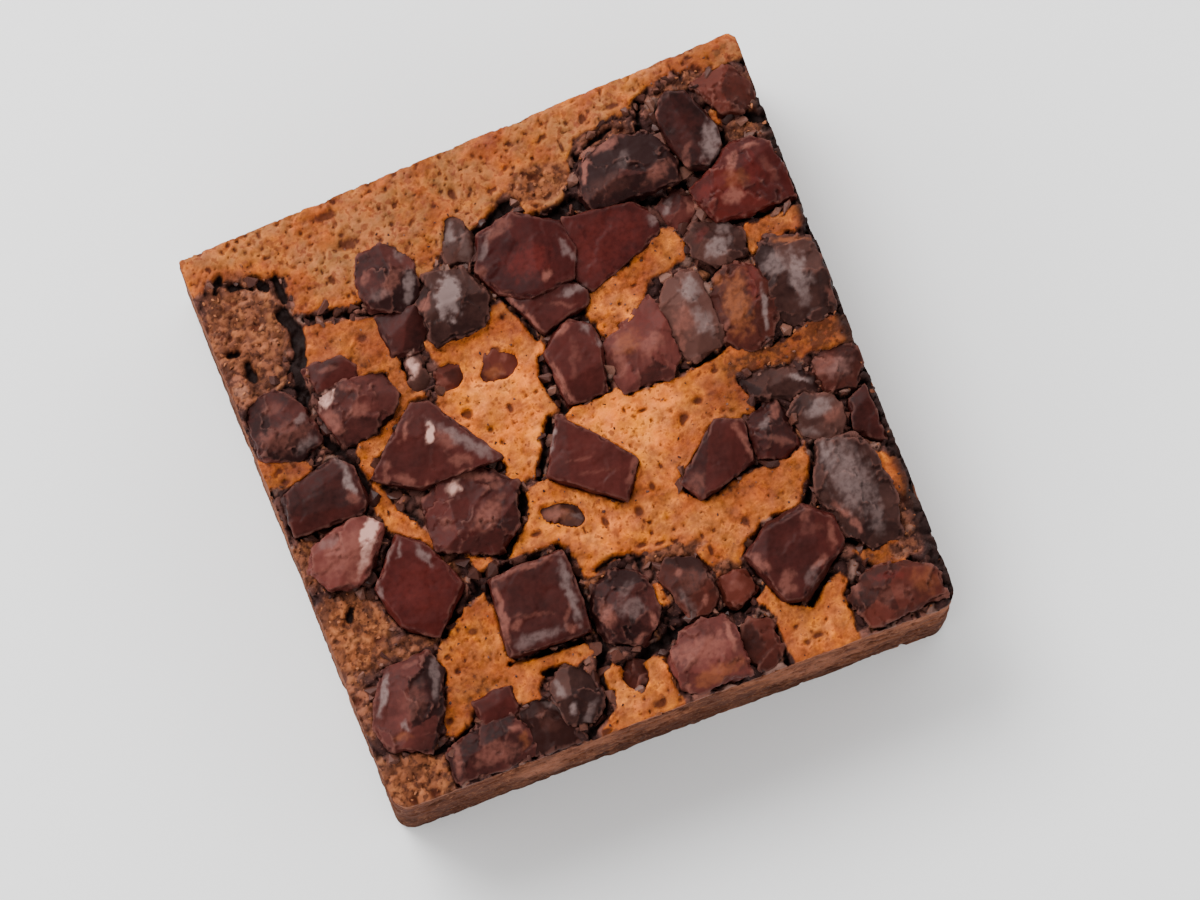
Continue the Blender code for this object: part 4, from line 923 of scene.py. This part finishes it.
def build_sides(material):
    """The knife-cut sides below the crust and the flat underside."""
    columns, rows = grid_counts(SIDE_CELL_MM)
    x, y = edge_places(columns, rows)
    count = len(x)
    levels = np.linspace(CRUST_MM - LID_MM, 0.0, round((CRUST_MM - LID_MM) / SIDE_CELL_MM) + 1)
    points = [in_part(*inset(x, y, CRUMB_INSET_MM), np.full(count, CRUMB_TOP_MM))]
    holes, heights = [np.zeros(count)], [np.ones(count)]
    for level in levels:
        z = np.full(count, level)
        side_x, side_y, hole = side_points(x, y, z)
        points.append(in_part(side_x, side_y, z))
        holes.append(hole)
        heights.append(z / CRUST_MM)
    rings = [range(k * count, (k + 1) * count) for k in range(len(points))]
    faces = [tuple(rings[0])]
    for above, below in zip(rings, rings[1:]):
        faces += ring_faces(above, below)
    faces.append(tuple(reversed(rings[-1])))
    looks = {"hole": np.concatenate(holes), "height": np.concatenate(heights)}
    piece = add_piece("fudge_crumb", shell("fudge_crumb", points, faces), material, looks)
    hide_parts("brownie")


def restored(outline):
    """The outline with its cut-off corners brought most of the way back to a point."""
    count = len(outline)
    points = [Vector(p) for p in outline]
    lengths = [(points[k] - points[k - 1]).length for k in range(count)]
    if count % 2:
        return outline
    # Edge k runs from point k - 1 to point k, and every second one cuts a corner off
    start = 0 if sum(lengths[0::2]) < sum(lengths[1::2]) else 1
    corners = []
    for k in range(start, count, 2):
        before, here, after, beyond = points[k - 2], points[k - 1], points[k], points[(k + 1) % count]
        one, other = here - before, beyond - after
        across = one.x * other.y - one.y * other.x
        middle = (here + after) / 2
        if abs(across) < TINY:
            corners.append(middle)
            continue
        share = ((after.x - before.x) * other.y - (after.y - before.y) * other.x) / across
        corners.append(middle.lerp(before + one * share, CORNER_BACK))
    return corners


def grown(outline, by):
    """The outline with each straight edge moved out."""
    points = [Vector(p) for p in outline]
    count = len(points)
    area = sum(points[k - 1].x * points[k].y - points[k].x * points[k - 1].y for k in range(count))
    side = 1.0 if area > 0 else -1.0
    moved = []
    for k, here in enumerate(points):
        before = (here - points[k - 1]).normalized()
        after = (points[(k + 1) % count] - here).normalized()
        out_before = Vector((before.y, -before.x)) * side
        out_after = Vector((after.y, -after.x)) * side
        bisector = (out_before + out_after).normalized()
        moved.append(here + bisector * by / max(bisector.dot(out_before), LEAST_MITRE))
    return moved


def tilted(slope, facing):
    """The direction that a flat faces, from how far it leans from level and which way."""
    slope, facing = math.radians(slope), math.radians(facing)
    return np.array([math.sin(slope) * math.cos(facing), math.sin(slope) * math.sin(facing), math.cos(slope)])


def chunk_flats(node, outline, kind, grow, draws):
    """The flats that bound a chunk: a direction and how far out along it each one lies."""
    points = np.array([v.co for v in node.data.vertices]) / MM + (*MARK, 0.0)
    crown = points[points[:, 2] > CRUST_MM - CROWN_MM]
    up = np.zeros(3)
    for face in node.data.polygons:
        if face.normal.z > UPWARD:
            up += np.array(face.normal) * face.area
    up /= np.linalg.norm(up)
    flats = [(up, (crown @ up).max())]
    count = len(outline)
    middle = sum(outline, Vector((0.0, 0.0))) / count
    for k in range(count):
        run = outline[(k + 1) % count] - outline[k]
        facing = math.degrees(math.atan2(-run.x, run.y))
        if (outline[k] - middle).dot(Vector((run.y, -run.x))) < 0:
            facing += 180
        slope = draws.uniform(*BEVEL_SLOPE[kind])
        way = tilted(slope, facing + draws.uniform(*BEVEL_TURN))
        room = grow * math.sin(math.radians(slope))
        flats.append((way, (crown @ way).max() + room - draws.uniform(*BEVEL_BITE_MM[kind])))
    turn = draws.uniform(0, 360)
    for k in range(FACET_COUNT[kind]):
        facing = turn + 360 * k / FACET_COUNT[kind] + draws.uniform(*FACET_TURN)
        way = tilted(draws.uniform(*FACET_SLOPE[kind]), facing)
        flats.append((way, (crown @ way).max() - draws.uniform(*FACET_BITE_MM[kind])))
    return flats


def knife_flats():
    """The planes of the slab's cut sides, which a chunk at the edge is cut by too."""
    corners = [Vector(c) for c in (FRONT_LEFT, FRONT_RIGHT, BACK_RIGHT, BACK_LEFT)]
    flats = []
    for k, here in enumerate(corners):
        run = here - corners[k - 1]
        way = np.array([run.y, -run.x, 0.0]) / run.length
        flats.append((way, way[:2] @ np.array(here) - SIDE_INSET_MM))
    return flats


def cut_block(outline, flats):
    """A block on an outline, cut by each flat in turn and redrawn in small even faces."""
    bm = bmesh.new()
    bed = bm.faces.new([bm.verts.new(in_part(*corner, CHUNK_FOOT_MM)) for corner in outline])
    raised = bmesh.ops.extrude_face_region(bm, geom=[bed])["geom"]
    for vert in raised:
        if isinstance(vert, bmesh.types.BMVert):
            vert.co.z = BLOCK_TOP_MM * MM
    bmesh.ops.recalc_face_normals(bm, faces=bm.faces)
    for way, reach in flats:
        spot = way * reach
        bmesh.ops.bisect_plane(bm, geom=bm.verts[:] + bm.edges[:] + bm.faces[:], dist=TINY,
                               plane_co=in_part(*spot), plane_no=way, clear_outer=True)
        bmesh.ops.holes_fill(bm, edges=[e for e in bm.edges if e.is_boundary])
    mesh = mesh_of(bm, "block")
    draft = put("block", mesh)
    redraw = draft.modifiers.new("redraw", "REMESH")
    redraw.mode = "VOXEL"
    redraw.voxel_size = CHUNK_CELL_MM * MM
    bpy.context.view_layer.update()
    fine = bpy.data.meshes.new_from_object(draft.evaluated_get(bpy.context.evaluated_depsgraph_get()))
    bpy.data.objects.remove(draft, do_unlink=True)
    bpy.data.meshes.remove(mesh)
    points = np.zeros(len(fine.vertices) * 3)
    fine.vertices.foreach_get("co", points)
    return fine, points.reshape(-1, 3) / MM + (*MARK, 0.0)


def normals_of(mesh):
    """The direction that the surface faces at each point."""
    normals = np.zeros(len(mesh.vertices) * 3)
    mesh.vertices.foreach_get("normal", normals)
    return normals.reshape(-1, 3)


def edge_share(mesh, points):
    """How sharply the surface turns at each point: above 0 on edges, below 0 in hollows."""
    edges = np.zeros(len(mesh.edges) * 2, int)
    mesh.edges.foreach_get("vertices", edges)
    one, other = edges.reshape(-1, 2).T
    total = np.zeros(points.shape)
    links = np.zeros(len(points))
    for a, b in ((one, other), (other, one)):
        np.add.at(total, a, points[b])
        np.add.at(links, a, 1)
    turn = ((points - total / links[:, None]) * normals_of(mesh)).sum(1) / CHUNK_CELL_MM
    for _ in range(EDGE_ROUNDS):
        total = np.zeros(len(points))
        for a, b in ((one, other), (other, one)):
            np.add.at(total, a, turn[b])
        turn = 0.5 * turn + 0.5 * total / links
    return turn


def put_points(mesh, points):
    """Sets a mesh's points from plan places and heights."""
    placed = in_part(points[:, 0], points[:, 1], points[:, 2])
    mesh.vertices.foreach_set("co", placed.astype(np.float32).ravel())
    mesh.update()


def marks_on(points, normals, low, high):
    """How strongly each kind of mark shows at each point of a chunk, which was cut between two corners."""
    middle, half = (high + low) / 2, (high - low) / 2
    upward = smooth(*MARK_UPWARD, normals[:, 2])
    x, y = [points[:, k] + MARK_SHIFT_MM * noise_at(points, MARK_SHIFT_SIZE_MM, seed, 2)
            for k, seed in enumerate((21.0, 27.0))]
    wander = MARK_WANDER * noise_at(points, MARK_WANDER_SIZE_MM, 33.0, 3)
    found = {look: np.zeros(len(points)) for look in MARKS}
    for look, marks in MARKS.items():
        for mark_x, mark_y, long, wide, angle, strength in marks:
            if np.hypot(mark_x - middle[0], mark_y - middle[1]) > half[:2].max() + MARK_REACH_MM:
                continue
            cos, sin = math.cos(math.radians(angle)), math.sin(math.radians(angle))
            dx, dy = x - mark_x, y - mark_y
            away = np.hypot((dx * cos + dy * sin) / long, (dy * cos - dx * sin) / wide) + wander
            # A long thin mark shows at full strength, a round one less so
            share = smooth(*MARK_FADE, away) * min(1.0, 0.5 + 0.25 * long / wide)
            found[look] = np.maximum(found[look], strength * share * upward)
    return found


def build_chunk(name, tone, outline, material):
    """One broken piece of chocolate, with flats, chips and scuffs, on its solid's own outline."""
    draws = random.Random(name)
    number = int(name[-2:])
    kind = "crisp" if tone in CRISP_TONES and number not in CRUMBLED else "rough"
    grow = CROWDED_GROW_MM if number in CROWDED else CHUNK_GROW_MM[kind]
    corners = grown(restored(outline), grow)
    flats = chunk_flats(frame["nodes"][name], corners, kind, grow, draws) + knife_flats()
    mesh, points = cut_block(corners, flats)
    low, high = points.min(0), points.max(0)
    nearest = np.stack([np.abs(points @ way - reach) for way, reach in flats]).argmin(0)
    facet = np.array([draws.uniform(-0.5, 0.5) for _ in flats])[nearest]
    normals = normals_of(mesh)
    seed = draws.uniform(0, 50)
    # Broken faces: each a shallow bowl at its own height and lean
    size = BREAK_MM[kind]
    warp = noise_at(points, BREAK_WARP_SIZE_MM, seed + 30, 2)[:, None] * BREAK_WARP_MM
    _, away, chance, lean = cells((points + warp) / size + seed)
    push = BREAK_RISE_MM[kind] * second_chance(chance) + BREAK_TILT[kind] * size * lean
    push += BREAK_BOWL_MM[kind] * (away - BREAK_BOWL_RIM)
    push += WEAR_MM[kind] * noise_at(points, WEAR_SIZE_MM, seed, 3)
    wall = smooth(*RAGGED_STEEP, np.abs(normals[:, 2]))
    push += RAGGED_MM[kind] * wall * noise_at(points, RAGGED_SIZE_MM, seed + 7, 2)
    chips = smooth(*CHIP_LEVELS, noise_at(points, CHIP_SIZE_MM, seed + 15, 2))
    push -= CHIP_MM[kind] * chips * smooth(*CHIP_EDGE, edge_share(mesh, points))
    points += normals * push[:, None]
    for way, reach in knife_flats():
        points -= np.maximum(points @ way - reach, 0.0)[:, None] * way
    points[:, 2] = np.minimum(points[:, 2], CHUNK_TOP_MM)
    put_points(mesh, points)
    looks = marks_on(points, normals, low, high)
    looks["edge"] = np.clip(edge_share(mesh, points) * EDGE_GAIN, -1.0, 1.0)
    if kind == "rough":
        facet = facet + BREAK_SHADE * (chance - 0.5)
    looks["shade"] = CHUNK_SHADE[number] + FACET_SHADE[kind] * facet
    # Painted shade down the chunk's sides below the crust, darker the deeper they lie
    looks["sunk"] = np.clip((CRUST_MM - SUNK_FROM_MM - points[:, 2]) / SUNK_OVER_MM, 0.0, 1.0)
    piece = add_piece("chocolate_" + name, mesh, material, looks)
    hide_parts(name)


def scatter(name, crust, where, bits, flatness, seed, material):
    """Small broken bits, half sunk in the top where it lets them lie."""
    count, width, apart = bits
    draws = random.Random(seed)
    choices = np.flatnonzero(where & (crust.from_side() > BIT_FROM_SIDE * width[1])).tolist()
    bm = bmesh.new()
    chance = bm.verts.layers.float.new("chance")
    taken = {}
    for _ in range(count):
        k = draws.choice(choices)
        spot = Vector((crust.x[k], crust.y[k], crust.z[k]))
        cell = (round(spot.x / apart), round(spot.y / apart))
        if any((cell[0] + i, cell[1] + j) in taken for i in (-1, 0, 1) for j in (-1, 0, 1)):
            continue
        taken[cell] = True
        size = width[0] + (width[1] - width[0]) * draws.random() ** BIT_SMALLNESS
        turn = Matrix.Rotation(draws.uniform(0, math.tau), 3, "Z")
        turn = turn @ Matrix.Rotation(draws.uniform(-BIT_TILT, BIT_TILT), 3, "X")
        across, deep, high = [draws.uniform(*limits) for limits in BIT_SHAPE]
        squash = Vector((across, deep, high * flatness))
        corners = []
        for _ in range(BIT_CORNERS):
            way = Vector((draws.gauss(0, 1), draws.gauss(0, 1), draws.gauss(0, 1))).normalized()
            corner = spot + turn @ (way * squash) * size / 2
            corners.append(bm.verts.new(in_part(*corner)))
        shade = draws.random()
        hull = bmesh.ops.convex_hull(bm, input=corners)
        bmesh.ops.delete(bm, geom=list(set(hull["geom_interior"] + hull["geom_unused"])), context="VERTS")
        for vert in corners:
            if vert.is_valid:
                vert[chance] = shade
    piece = add_piece(name, mesh_of(bm, name), material, {}, rounded=False)


def linear(hex_colour):
    """An sRGB colour written in hex, as the linear values that a shader takes."""
    shares = [int(hex_colour[k:k + 2], 16) / 255 for k in (1, 3, 5)]
    return (*[c / 12.92 if c <= 0.04045 else ((c + 0.055) / 1.055) ** 2.4 for c in shares], 1.0)


def add_node(tree, kind, inputs, out=0, **settings):
    """Adds a node with its settings, feeds it values, hex colours or other outputs, and gives one output."""
    node = tree.nodes.new(kind)
    for name, value in settings.items():
        setattr(node, name, value)
    for name, value in inputs.items():
        if isinstance(value, bpy.types.NodeSocket):
            tree.links.new(value, node.inputs[name])
        else:
            node.inputs[name].default_value = linear(value) if isinstance(value, str) else value
    return node.outputs[out]


MIX_FACTOR, MIX_A, MIX_B, MIX_OUT = 0, 6, 7, 2


def start_finish(name, looks, patterns_mm):
    """A material with the values that the shapes carry and cloudy patterns of given sizes, by name."""
    material = bpy.data.materials.new(name)
    material.use_nodes = True
    tree = material.node_tree
    place = add_node(tree, "ShaderNodeTexCoord", {}, "Object")
    found = {look: add_node(tree, "ShaderNodeAttribute", {}, "Fac", attribute_name=look) for look in looks}
    for pattern, size_mm in patterns_mm.items():
        sizes = {"Vector": place, "Scale": 1 / MM / size_mm, "Detail": CLOUD_DETAIL}
        found[pattern] = add_node(tree, "ShaderNodeTexNoise", sizes)
    return material, tree, found


def paint(tree, ground, coats):
    """Lays coats over a ground colour, each from none to its most as a value goes from low to high."""
    for coat, value, low, high, most in coats:
        limits = {"Value": value, "From Min": low, "From Max": high, "To Max": most}
        share = add_node(tree, "ShaderNodeMapRange", limits)
        sockets = {MIX_FACTOR: share, MIX_A: ground, MIX_B: coat}
        ground = add_node(tree, "ShaderNodeMix", sockets, MIX_OUT, data_type="RGBA")
    return ground


def end_finish(tree, colour, gloss, relief, sheen):
    """Links the colour, a roughness that follows a pattern, and a fine relief to the shader."""
    shader = tree.nodes["Principled BSDF"]
    pattern, smoothest, roughest = gloss
    limits = {"Value": pattern, "From Min": GLOSS_FROM[0], "From Max": GLOSS_FROM[1],
              "To Min": smoothest, "To Max": roughest}
    height, strength, depth_mm = relief
    bumps = {"Height": height, "Strength": strength, "Distance": depth_mm * MM}
    tree.links.new(colour, shader.inputs["Base Color"])
    tree.links.new(add_node(tree, "ShaderNodeMapRange", limits), shader.inputs["Roughness"])
    tree.links.new(add_node(tree, "ShaderNodeBump", bumps), shader.inputs["Normal"])
    shader.inputs["IOR"].default_value = sheen[0]
    shader.inputs["Specular IOR Level"].default_value = sheen[1]


def baked_brownie_crust():
    """Baked brownie crust, a dried foam of sugar and egg: matt tan to orange brown, darker in each pit."""
    # The tan's hue shifts over dried patches of 5 mm, drifts of 3.1 mm and a haze of 2.3 mm. The foam's burst
    # bubbles and sugar are blotches 1.8 mm across, freckles of 0.8 mm and a grit of 0.35 mm
    material, tree, look = start_finish(
        "baked_brownie_crust", (*CRUST_LOOKS, "side"),
        {"patch": 5.0, "drift": 3.1, "haze": 2.3, "blotch": 1.8, "freckle": 0.8, "grit": 0.35})
    warmth = look["blotch"]
    for pull, amount in (("freckle", 1.0), ("tint", TINT_PULL), ("flake", FLAKE_PULL)):
        warmth = add_node(tree, "ShaderNodeMath", {0: look[pull], 1: amount, 2: warmth},
                          operation="MULTIPLY_ADD")
    drier = add_node(tree, "ShaderNodeMath", {0: look["patch"], 1: look["dry"]}, operation="MULTIPLY")
    speckle = add_node(tree, "ShaderNodeMath", {0: look["dry"], 1: DRY_SPECKLE, 2: look["freckle"]},
                       operation="MULTIPLY_ADD")
    tan = paint(tree, "#481F08", [
        ("#9C5020", warmth, 0.55, 1.08, 1.0),
        ("#DE7826", warmth, 1.08, 1.5, 1.0),
        ("#94623A", drier, 0.42, 0.6, 0.5),
        ("#662E18", speckle, 0.57, 0.66, 0.75),
        ("#74361C", look["patch"], 0.48, 0.36, 0.45),
    ])
    # It drifts from a pinker to a yellower tan over a few millimetres
    clouds = {"From Min": CLOUDY[0], "From Max": CLOUDY[1]}
    turn = {"Value": look["drift"], **clouds, "To Min": HUE_DRIFT[0], "To Max": HUE_DRIFT[1]}
    fade = {"Value": look["haze"], **clouds, "To Min": TAN_STRENGTH[0], "To Max": TAN_STRENGTH[1]}
    tan = add_node(tree, "ShaderNodeHueSaturation", {
        "Hue": add_node(tree, "ShaderNodeMapRange", turn),
        "Saturation": add_node(tree, "ShaderNodeMapRange", fade),
        "Color": tan})
    # Broken chocolate and crumb between the chunks, each lump its own shade
    rubble = paint(tree, "#2E1613", [
        ("#523029", look["chance"], 0.3, 0.31, 1.0),
        ("#42231D", look["chance"], 0.5, 0.51, 1.0),
        ("#6A4035", look["chance"], 0.62, 0.63, 1.0),
        ("#855238", look["chance"], 0.82, 0.83, 1.0),
        ("#6C4E45", look["chance"], 0.88, 0.89, 1.0),
        ("#1E0D0B", look["freckle"], 0.55, 0.68, 0.5),
        ("#7A5042", look["grit"], 0.6, 0.72, 0.5),
    ])
    grain = paint(tree, "#5E321C", [
        ("#94522E", look["chance"], 0.0, 1.0, 0.9),
        ("#BC7548", look["blotch"], 0.5, 0.7, 0.5),
        ("#45200F", look["freckle"], 0.52, 0.6, 0.8),
    ])
    grain = paint(tree, rubble, [(grain, look["grain_tan"], 0.0, 0.9, 1.0)])
    cut = paint(tree, "#562C1E", [("#804E36", look["blotch"], 0.3, 0.7, 1.0)])
    colour = paint(tree, rubble, [
        (tan, look["plate"], 0.0, 1.0, 1.0),
        (grain, look["grainy"], 0.0, 1.0, 1.0),
        ("#210D0B", look["seam"], 0.0, 1.0, 0.75),
        ("#451B0C", look["pit"], 0.25, 0.9, 0.9),
        # Painted shade in the clefts and moats
        ("#190B09", look["gloom"], 0.45, 0.95, 1.0),
        (cut, look["side"], 0.1, 0.9, 1.0),
        # Painted shade along the right-hand edge, away from the key light
        ("#1C0C0A", look["dim"], 0.0, 1.0, 0.9),
    ])
    # Dried sugar foam has a low, scattered sheen
    end_finish(tree, colour, (look["blotch"], 0.6, 0.85), (look["grit"], 0.6, 0.25), (1.45, 0.15))
    return material


def knife_cut_fudge():
    """Dense fudge crumb cut with a knife: moist and brown, darker towards the base, with small holes."""
    # The knife smears stains 12 mm long over crumb lumps 2.4 mm across with a grain of 0.5 mm
    material, tree, look = start_finish(
        "knife_cut_fudge", ("hole", "height"), {"stain": 12.0, "lump": 2.4, "grain": 0.5})
    upper = paint(tree, "#4C281C", [("#7C4C36", look["lump"], 0.3, 0.7, 1.0)])
    colour = paint(tree, "#2A1710", [
        ("#472A1F", look["lump"], 0.3, 0.7, 1.0),
        (upper, look["height"], 0.0, 0.95, 1.0),
        ("#3A1D14", look["stain"], 0.5, 0.62, 0.6),
        ("#8C5A46", look["stain"], 0.45, 0.32, 0.55),
        ("#2C1610", look["grain"], 0.55, 0.7, 0.6),
        ("#8A5C44", look["grain"], 0.44, 0.3, 0.45),
        # Holes and tears darker, as painted shade in them
        ("#22100C", look["hole"], 0.1, 1.0, 0.85),
    ])
    end_finish(tree, colour, (look["lump"], 0.7, 0.9), (look["grain"], 0.6, 0.3), (1.45, 0.04))
    return material


def loose_bits(name, shades, smoothest):
    """Broken bits of chocolate or of crust, each its own shade."""
    # Specks of 0.5 mm are coarser than the real ones, so that they show
    dark, middling, pale = shades
    material, tree, look = start_finish(name, ("chance",), {"speck": 0.5})
    colour = paint(tree, dark, [
        (middling, look["chance"], 0.0, 0.6, 1.0),
        (pale, look["chance"], 0.6, 1.0, 1.0),
        (dark, look["speck"], 0.5, 0.7, 0.4),
    ])
    gloss = (look["speck"], smoothest, smoothest + 0.2)
    end_finish(tree, colour, gloss, (look["speck"], 0.3, 0.1), (1.46, 0.15))
    return material


def broken_chocolate(tone, dark, light, smoothest):
    """Dark chocolate, snapped and then softened in the oven: low sheen, with marks that are partly a dull
    bloom and scuffs and partly painted highlights and reflections.
    """
    # Cocoa butter leaves cloudy patches 2.6 mm across. The bloom's real dust is far finer than 0.6 mm, and is
    # drawn that coarse so that it shows
    material, tree, look = start_finish(
        f"broken_{tone}_chocolate", (*MARKS, "edge", "shade", "sunk"), {"cloud": 2.6, "bloom": 0.6})
    shade = look["shade"]
    for pattern, amount in (("cloud", CLOUD_PULL), ("bloom", BLOOM_PULL)):
        shade = add_node(tree, "ShaderNodeMath", {0: look[pattern], 1: amount, 2: shade},
                         operation="MULTIPLY_ADD")
    # The bloom breaks each mark up, painted highlights and scuffs alike, so that it shows in patches
    mark_breakup = add_node(tree, "ShaderNodeMapRange", {
        "Value": look["bloom"], "From Min": MARK_BREAKUP_FROM[0], "From Max": MARK_BREAKUP_FROM[1],
        "To Min": MARK_BREAKUP_LEAST})
    marks_and_highlights = [(add_node(tree, "ShaderNodeMath", {0: look[mark], 1: mark_breakup}, operation="MULTIPLY"), *shown)
            for mark, shown in MARK_SHADES.items()]
    colour = paint(tree, dark, [
        (light, shade, 0.6, 1.9, 1.0),
        # Edges lighter, partly scuffing and partly a painted highlight where light would catch them
        ("#6A433A", look["edge"], 0.25, 1.0, 0.42),
        # The marks: rosy, grey and pale ones are partly painted highlights and reflections
        *((hex_colour, mark, 0.0, 1.0, most) for mark, hex_colour, most in marks_and_highlights),
        # Hollows darker, as painted shade
        ("#1A0B09", look["edge"], -0.4, -1.0, 0.4),
        # Painted shade where the chunk sinks below the crust
        ("#2A1410", look["sunk"], 0.1, 1.0, 0.7),
    ])
    # Cocoa butter bends light a little more than water does
    gloss = (look["bloom"], smoothest, smoothest + 0.15)
    end_finish(tree, colour, gloss, (look["bloom"], 0.15, 0.08), (1.46, 0.08))
    return material


def build_chunks(outlines):
    """Every piece of chocolate, each with the finish of its slot in the record."""
    finishes = {tone: broken_chocolate(tone, *look) for tone, look in CHOCOLATES.items()}
    for part in frame["record"]["subparts"]:
        name = part["node"]
        if name in outlines:
            tone = part["material_slot"].removesuffix("_chocolate")
            build_chunk(name, tone, outlines[name], finishes[tone])


def build_stage():
    """A plain pale floor under soft studio light."""
    bm = bmesh.new()
    bmesh.ops.create_grid(bm, x_segments=FLOOR_CELLS, y_segments=FLOOR_CELLS, size=FLOOR_HALF_M)
    floor = put("floor", mesh_of(bm, "floor"))
    paper = bpy.data.materials.new("white_paper_sweep")
    paper.use_nodes = True
    shader = paper.node_tree.nodes["Principled BSDF"]
    shader.inputs["Base Color"].default_value = linear("#F6F6F6")
    shader.inputs["Roughness"].default_value = 0.9
    floor.data.materials.append(paper)
    turn, rise = math.radians(KEY_AZIMUTH), math.radians(KEY_ELEVATION)
    way = Vector((math.cos(turn) * math.cos(rise), math.sin(turn) * math.cos(rise), math.sin(rise)))
    world = bpy.data.worlds.new("studio")
    world.use_nodes = True
    tree = world.node_tree
    sky = tree.nodes["Background"]
    sky.inputs["Color"].default_value = linear("#FFFFFF")
    looking = add_node(tree, "ShaderNodeTexCoord", {}, "Generated")
    height = add_node(tree, "ShaderNodeSeparateXYZ", {"Vector": looking}, "Z")
    facing = {0: looking, 1: (math.cos(turn), math.sin(turn), 0.0)}
    lean = add_node(tree, "ShaderNodeVectorMath", facing, "Value", operation="DOT_PRODUCT")
    share = add_node(tree, "ShaderNodeMath", {0: lean, 1: SKY_LEAN, 2: 1.0}, operation="MULTIPLY_ADD")
    fade = add_node(tree, "ShaderNodeMapRange", {
        "Value": height, "From Min": SKY_FADE[0], "From Max": SKY_FADE[1],
        "To Min": SKY_STRENGTH * SKY_OVERHEAD, "To Max": SKY_STRENGTH})
    strength = add_node(tree, "ShaderNodeMath", {0: fade, 1: share}, operation="MULTIPLY")
    tree.links.new(strength, sky.inputs["Strength"])
    bpy.context.scene.world = world
    key = bpy.data.lights.new("key", "AREA")
    key.shape = "DISK"
    key.size = KEY_SIZE_M
    key.energy = KEY_WATTS
    lamp = put("key", key)
    lamp.location = way * KEY_AWAY_M
    lamp.rotation_euler = way.to_track_quat("Z", "Y").to_euler()


def build_camera():
    """The camera, high in front of the slab and a little to its left."""
    turn, rise = math.radians(CAMERA_AZIMUTH), math.radians(CAMERA_ELEVATION)
    back = Vector((math.sin(turn) * math.cos(rise), -math.cos(turn) * math.cos(rise), math.sin(rise)))
    lens = bpy.data.cameras.new("camera")
    lens.lens = CAMERA_LENS_MM
    lens.clip_start = CAMERA_NEAREST_M
    camera = put("camera", lens)
    camera.location = Vector(CAMERA_AIM_MM) * MM + back * CAMERA_AWAY_M
    camera.rotation_euler = back.to_track_quat("Z", "Y").to_euler()
    bpy.context.scene.camera = camera


def build_all():
    """Makes every piece, then the floor, lights and camera."""
    outlines = {name: chunk_outline(node) for name, node in frame["nodes"].items() if name != "brownie"}
    crust = build_crust(list(outlines.values()), baked_brownie_crust())
    build_sides(knife_cut_fudge())
    build_chunks(outlines)
    # Shards lie in the bare gaps, dust on the plates near the chunks, and crumbs where the crust is rough
    bare = (crust.plate < 0.3) & (crust.grainy < 0.5) & (crust.gap > 0.1) & (crust.gloom < 0.6)
    shards = loose_bits("crushed_dark_chocolate", ("#2A1310", "#482820", "#684438"), 0.3)
    scatter("chocolate_shards", crust, bare, SHARDS, 0.8, 5, shards)
    strewn = (crust.plate > 0.7) & (crust.gap > 0.2) & (crust.gap < 3.0)
    scatter("chocolate_dust", crust, strewn, DUST, 0.7, 7, shards)
    crumbs = loose_bits("crumbled_brownie_crust", ("#4A2415", "#7A462C", "#965C3C"), 0.7)
    rough = (crust.gap > 0.2) & (crust.gloom < 0.4) & ((crust.grainy > 0.5) | (crust.chance > 0.75))
    scatter("baked_crumbs", crust, rough, CRUMBS, 0.9, 6, crumbs)
    build_stage()
    build_camera()


build_all()
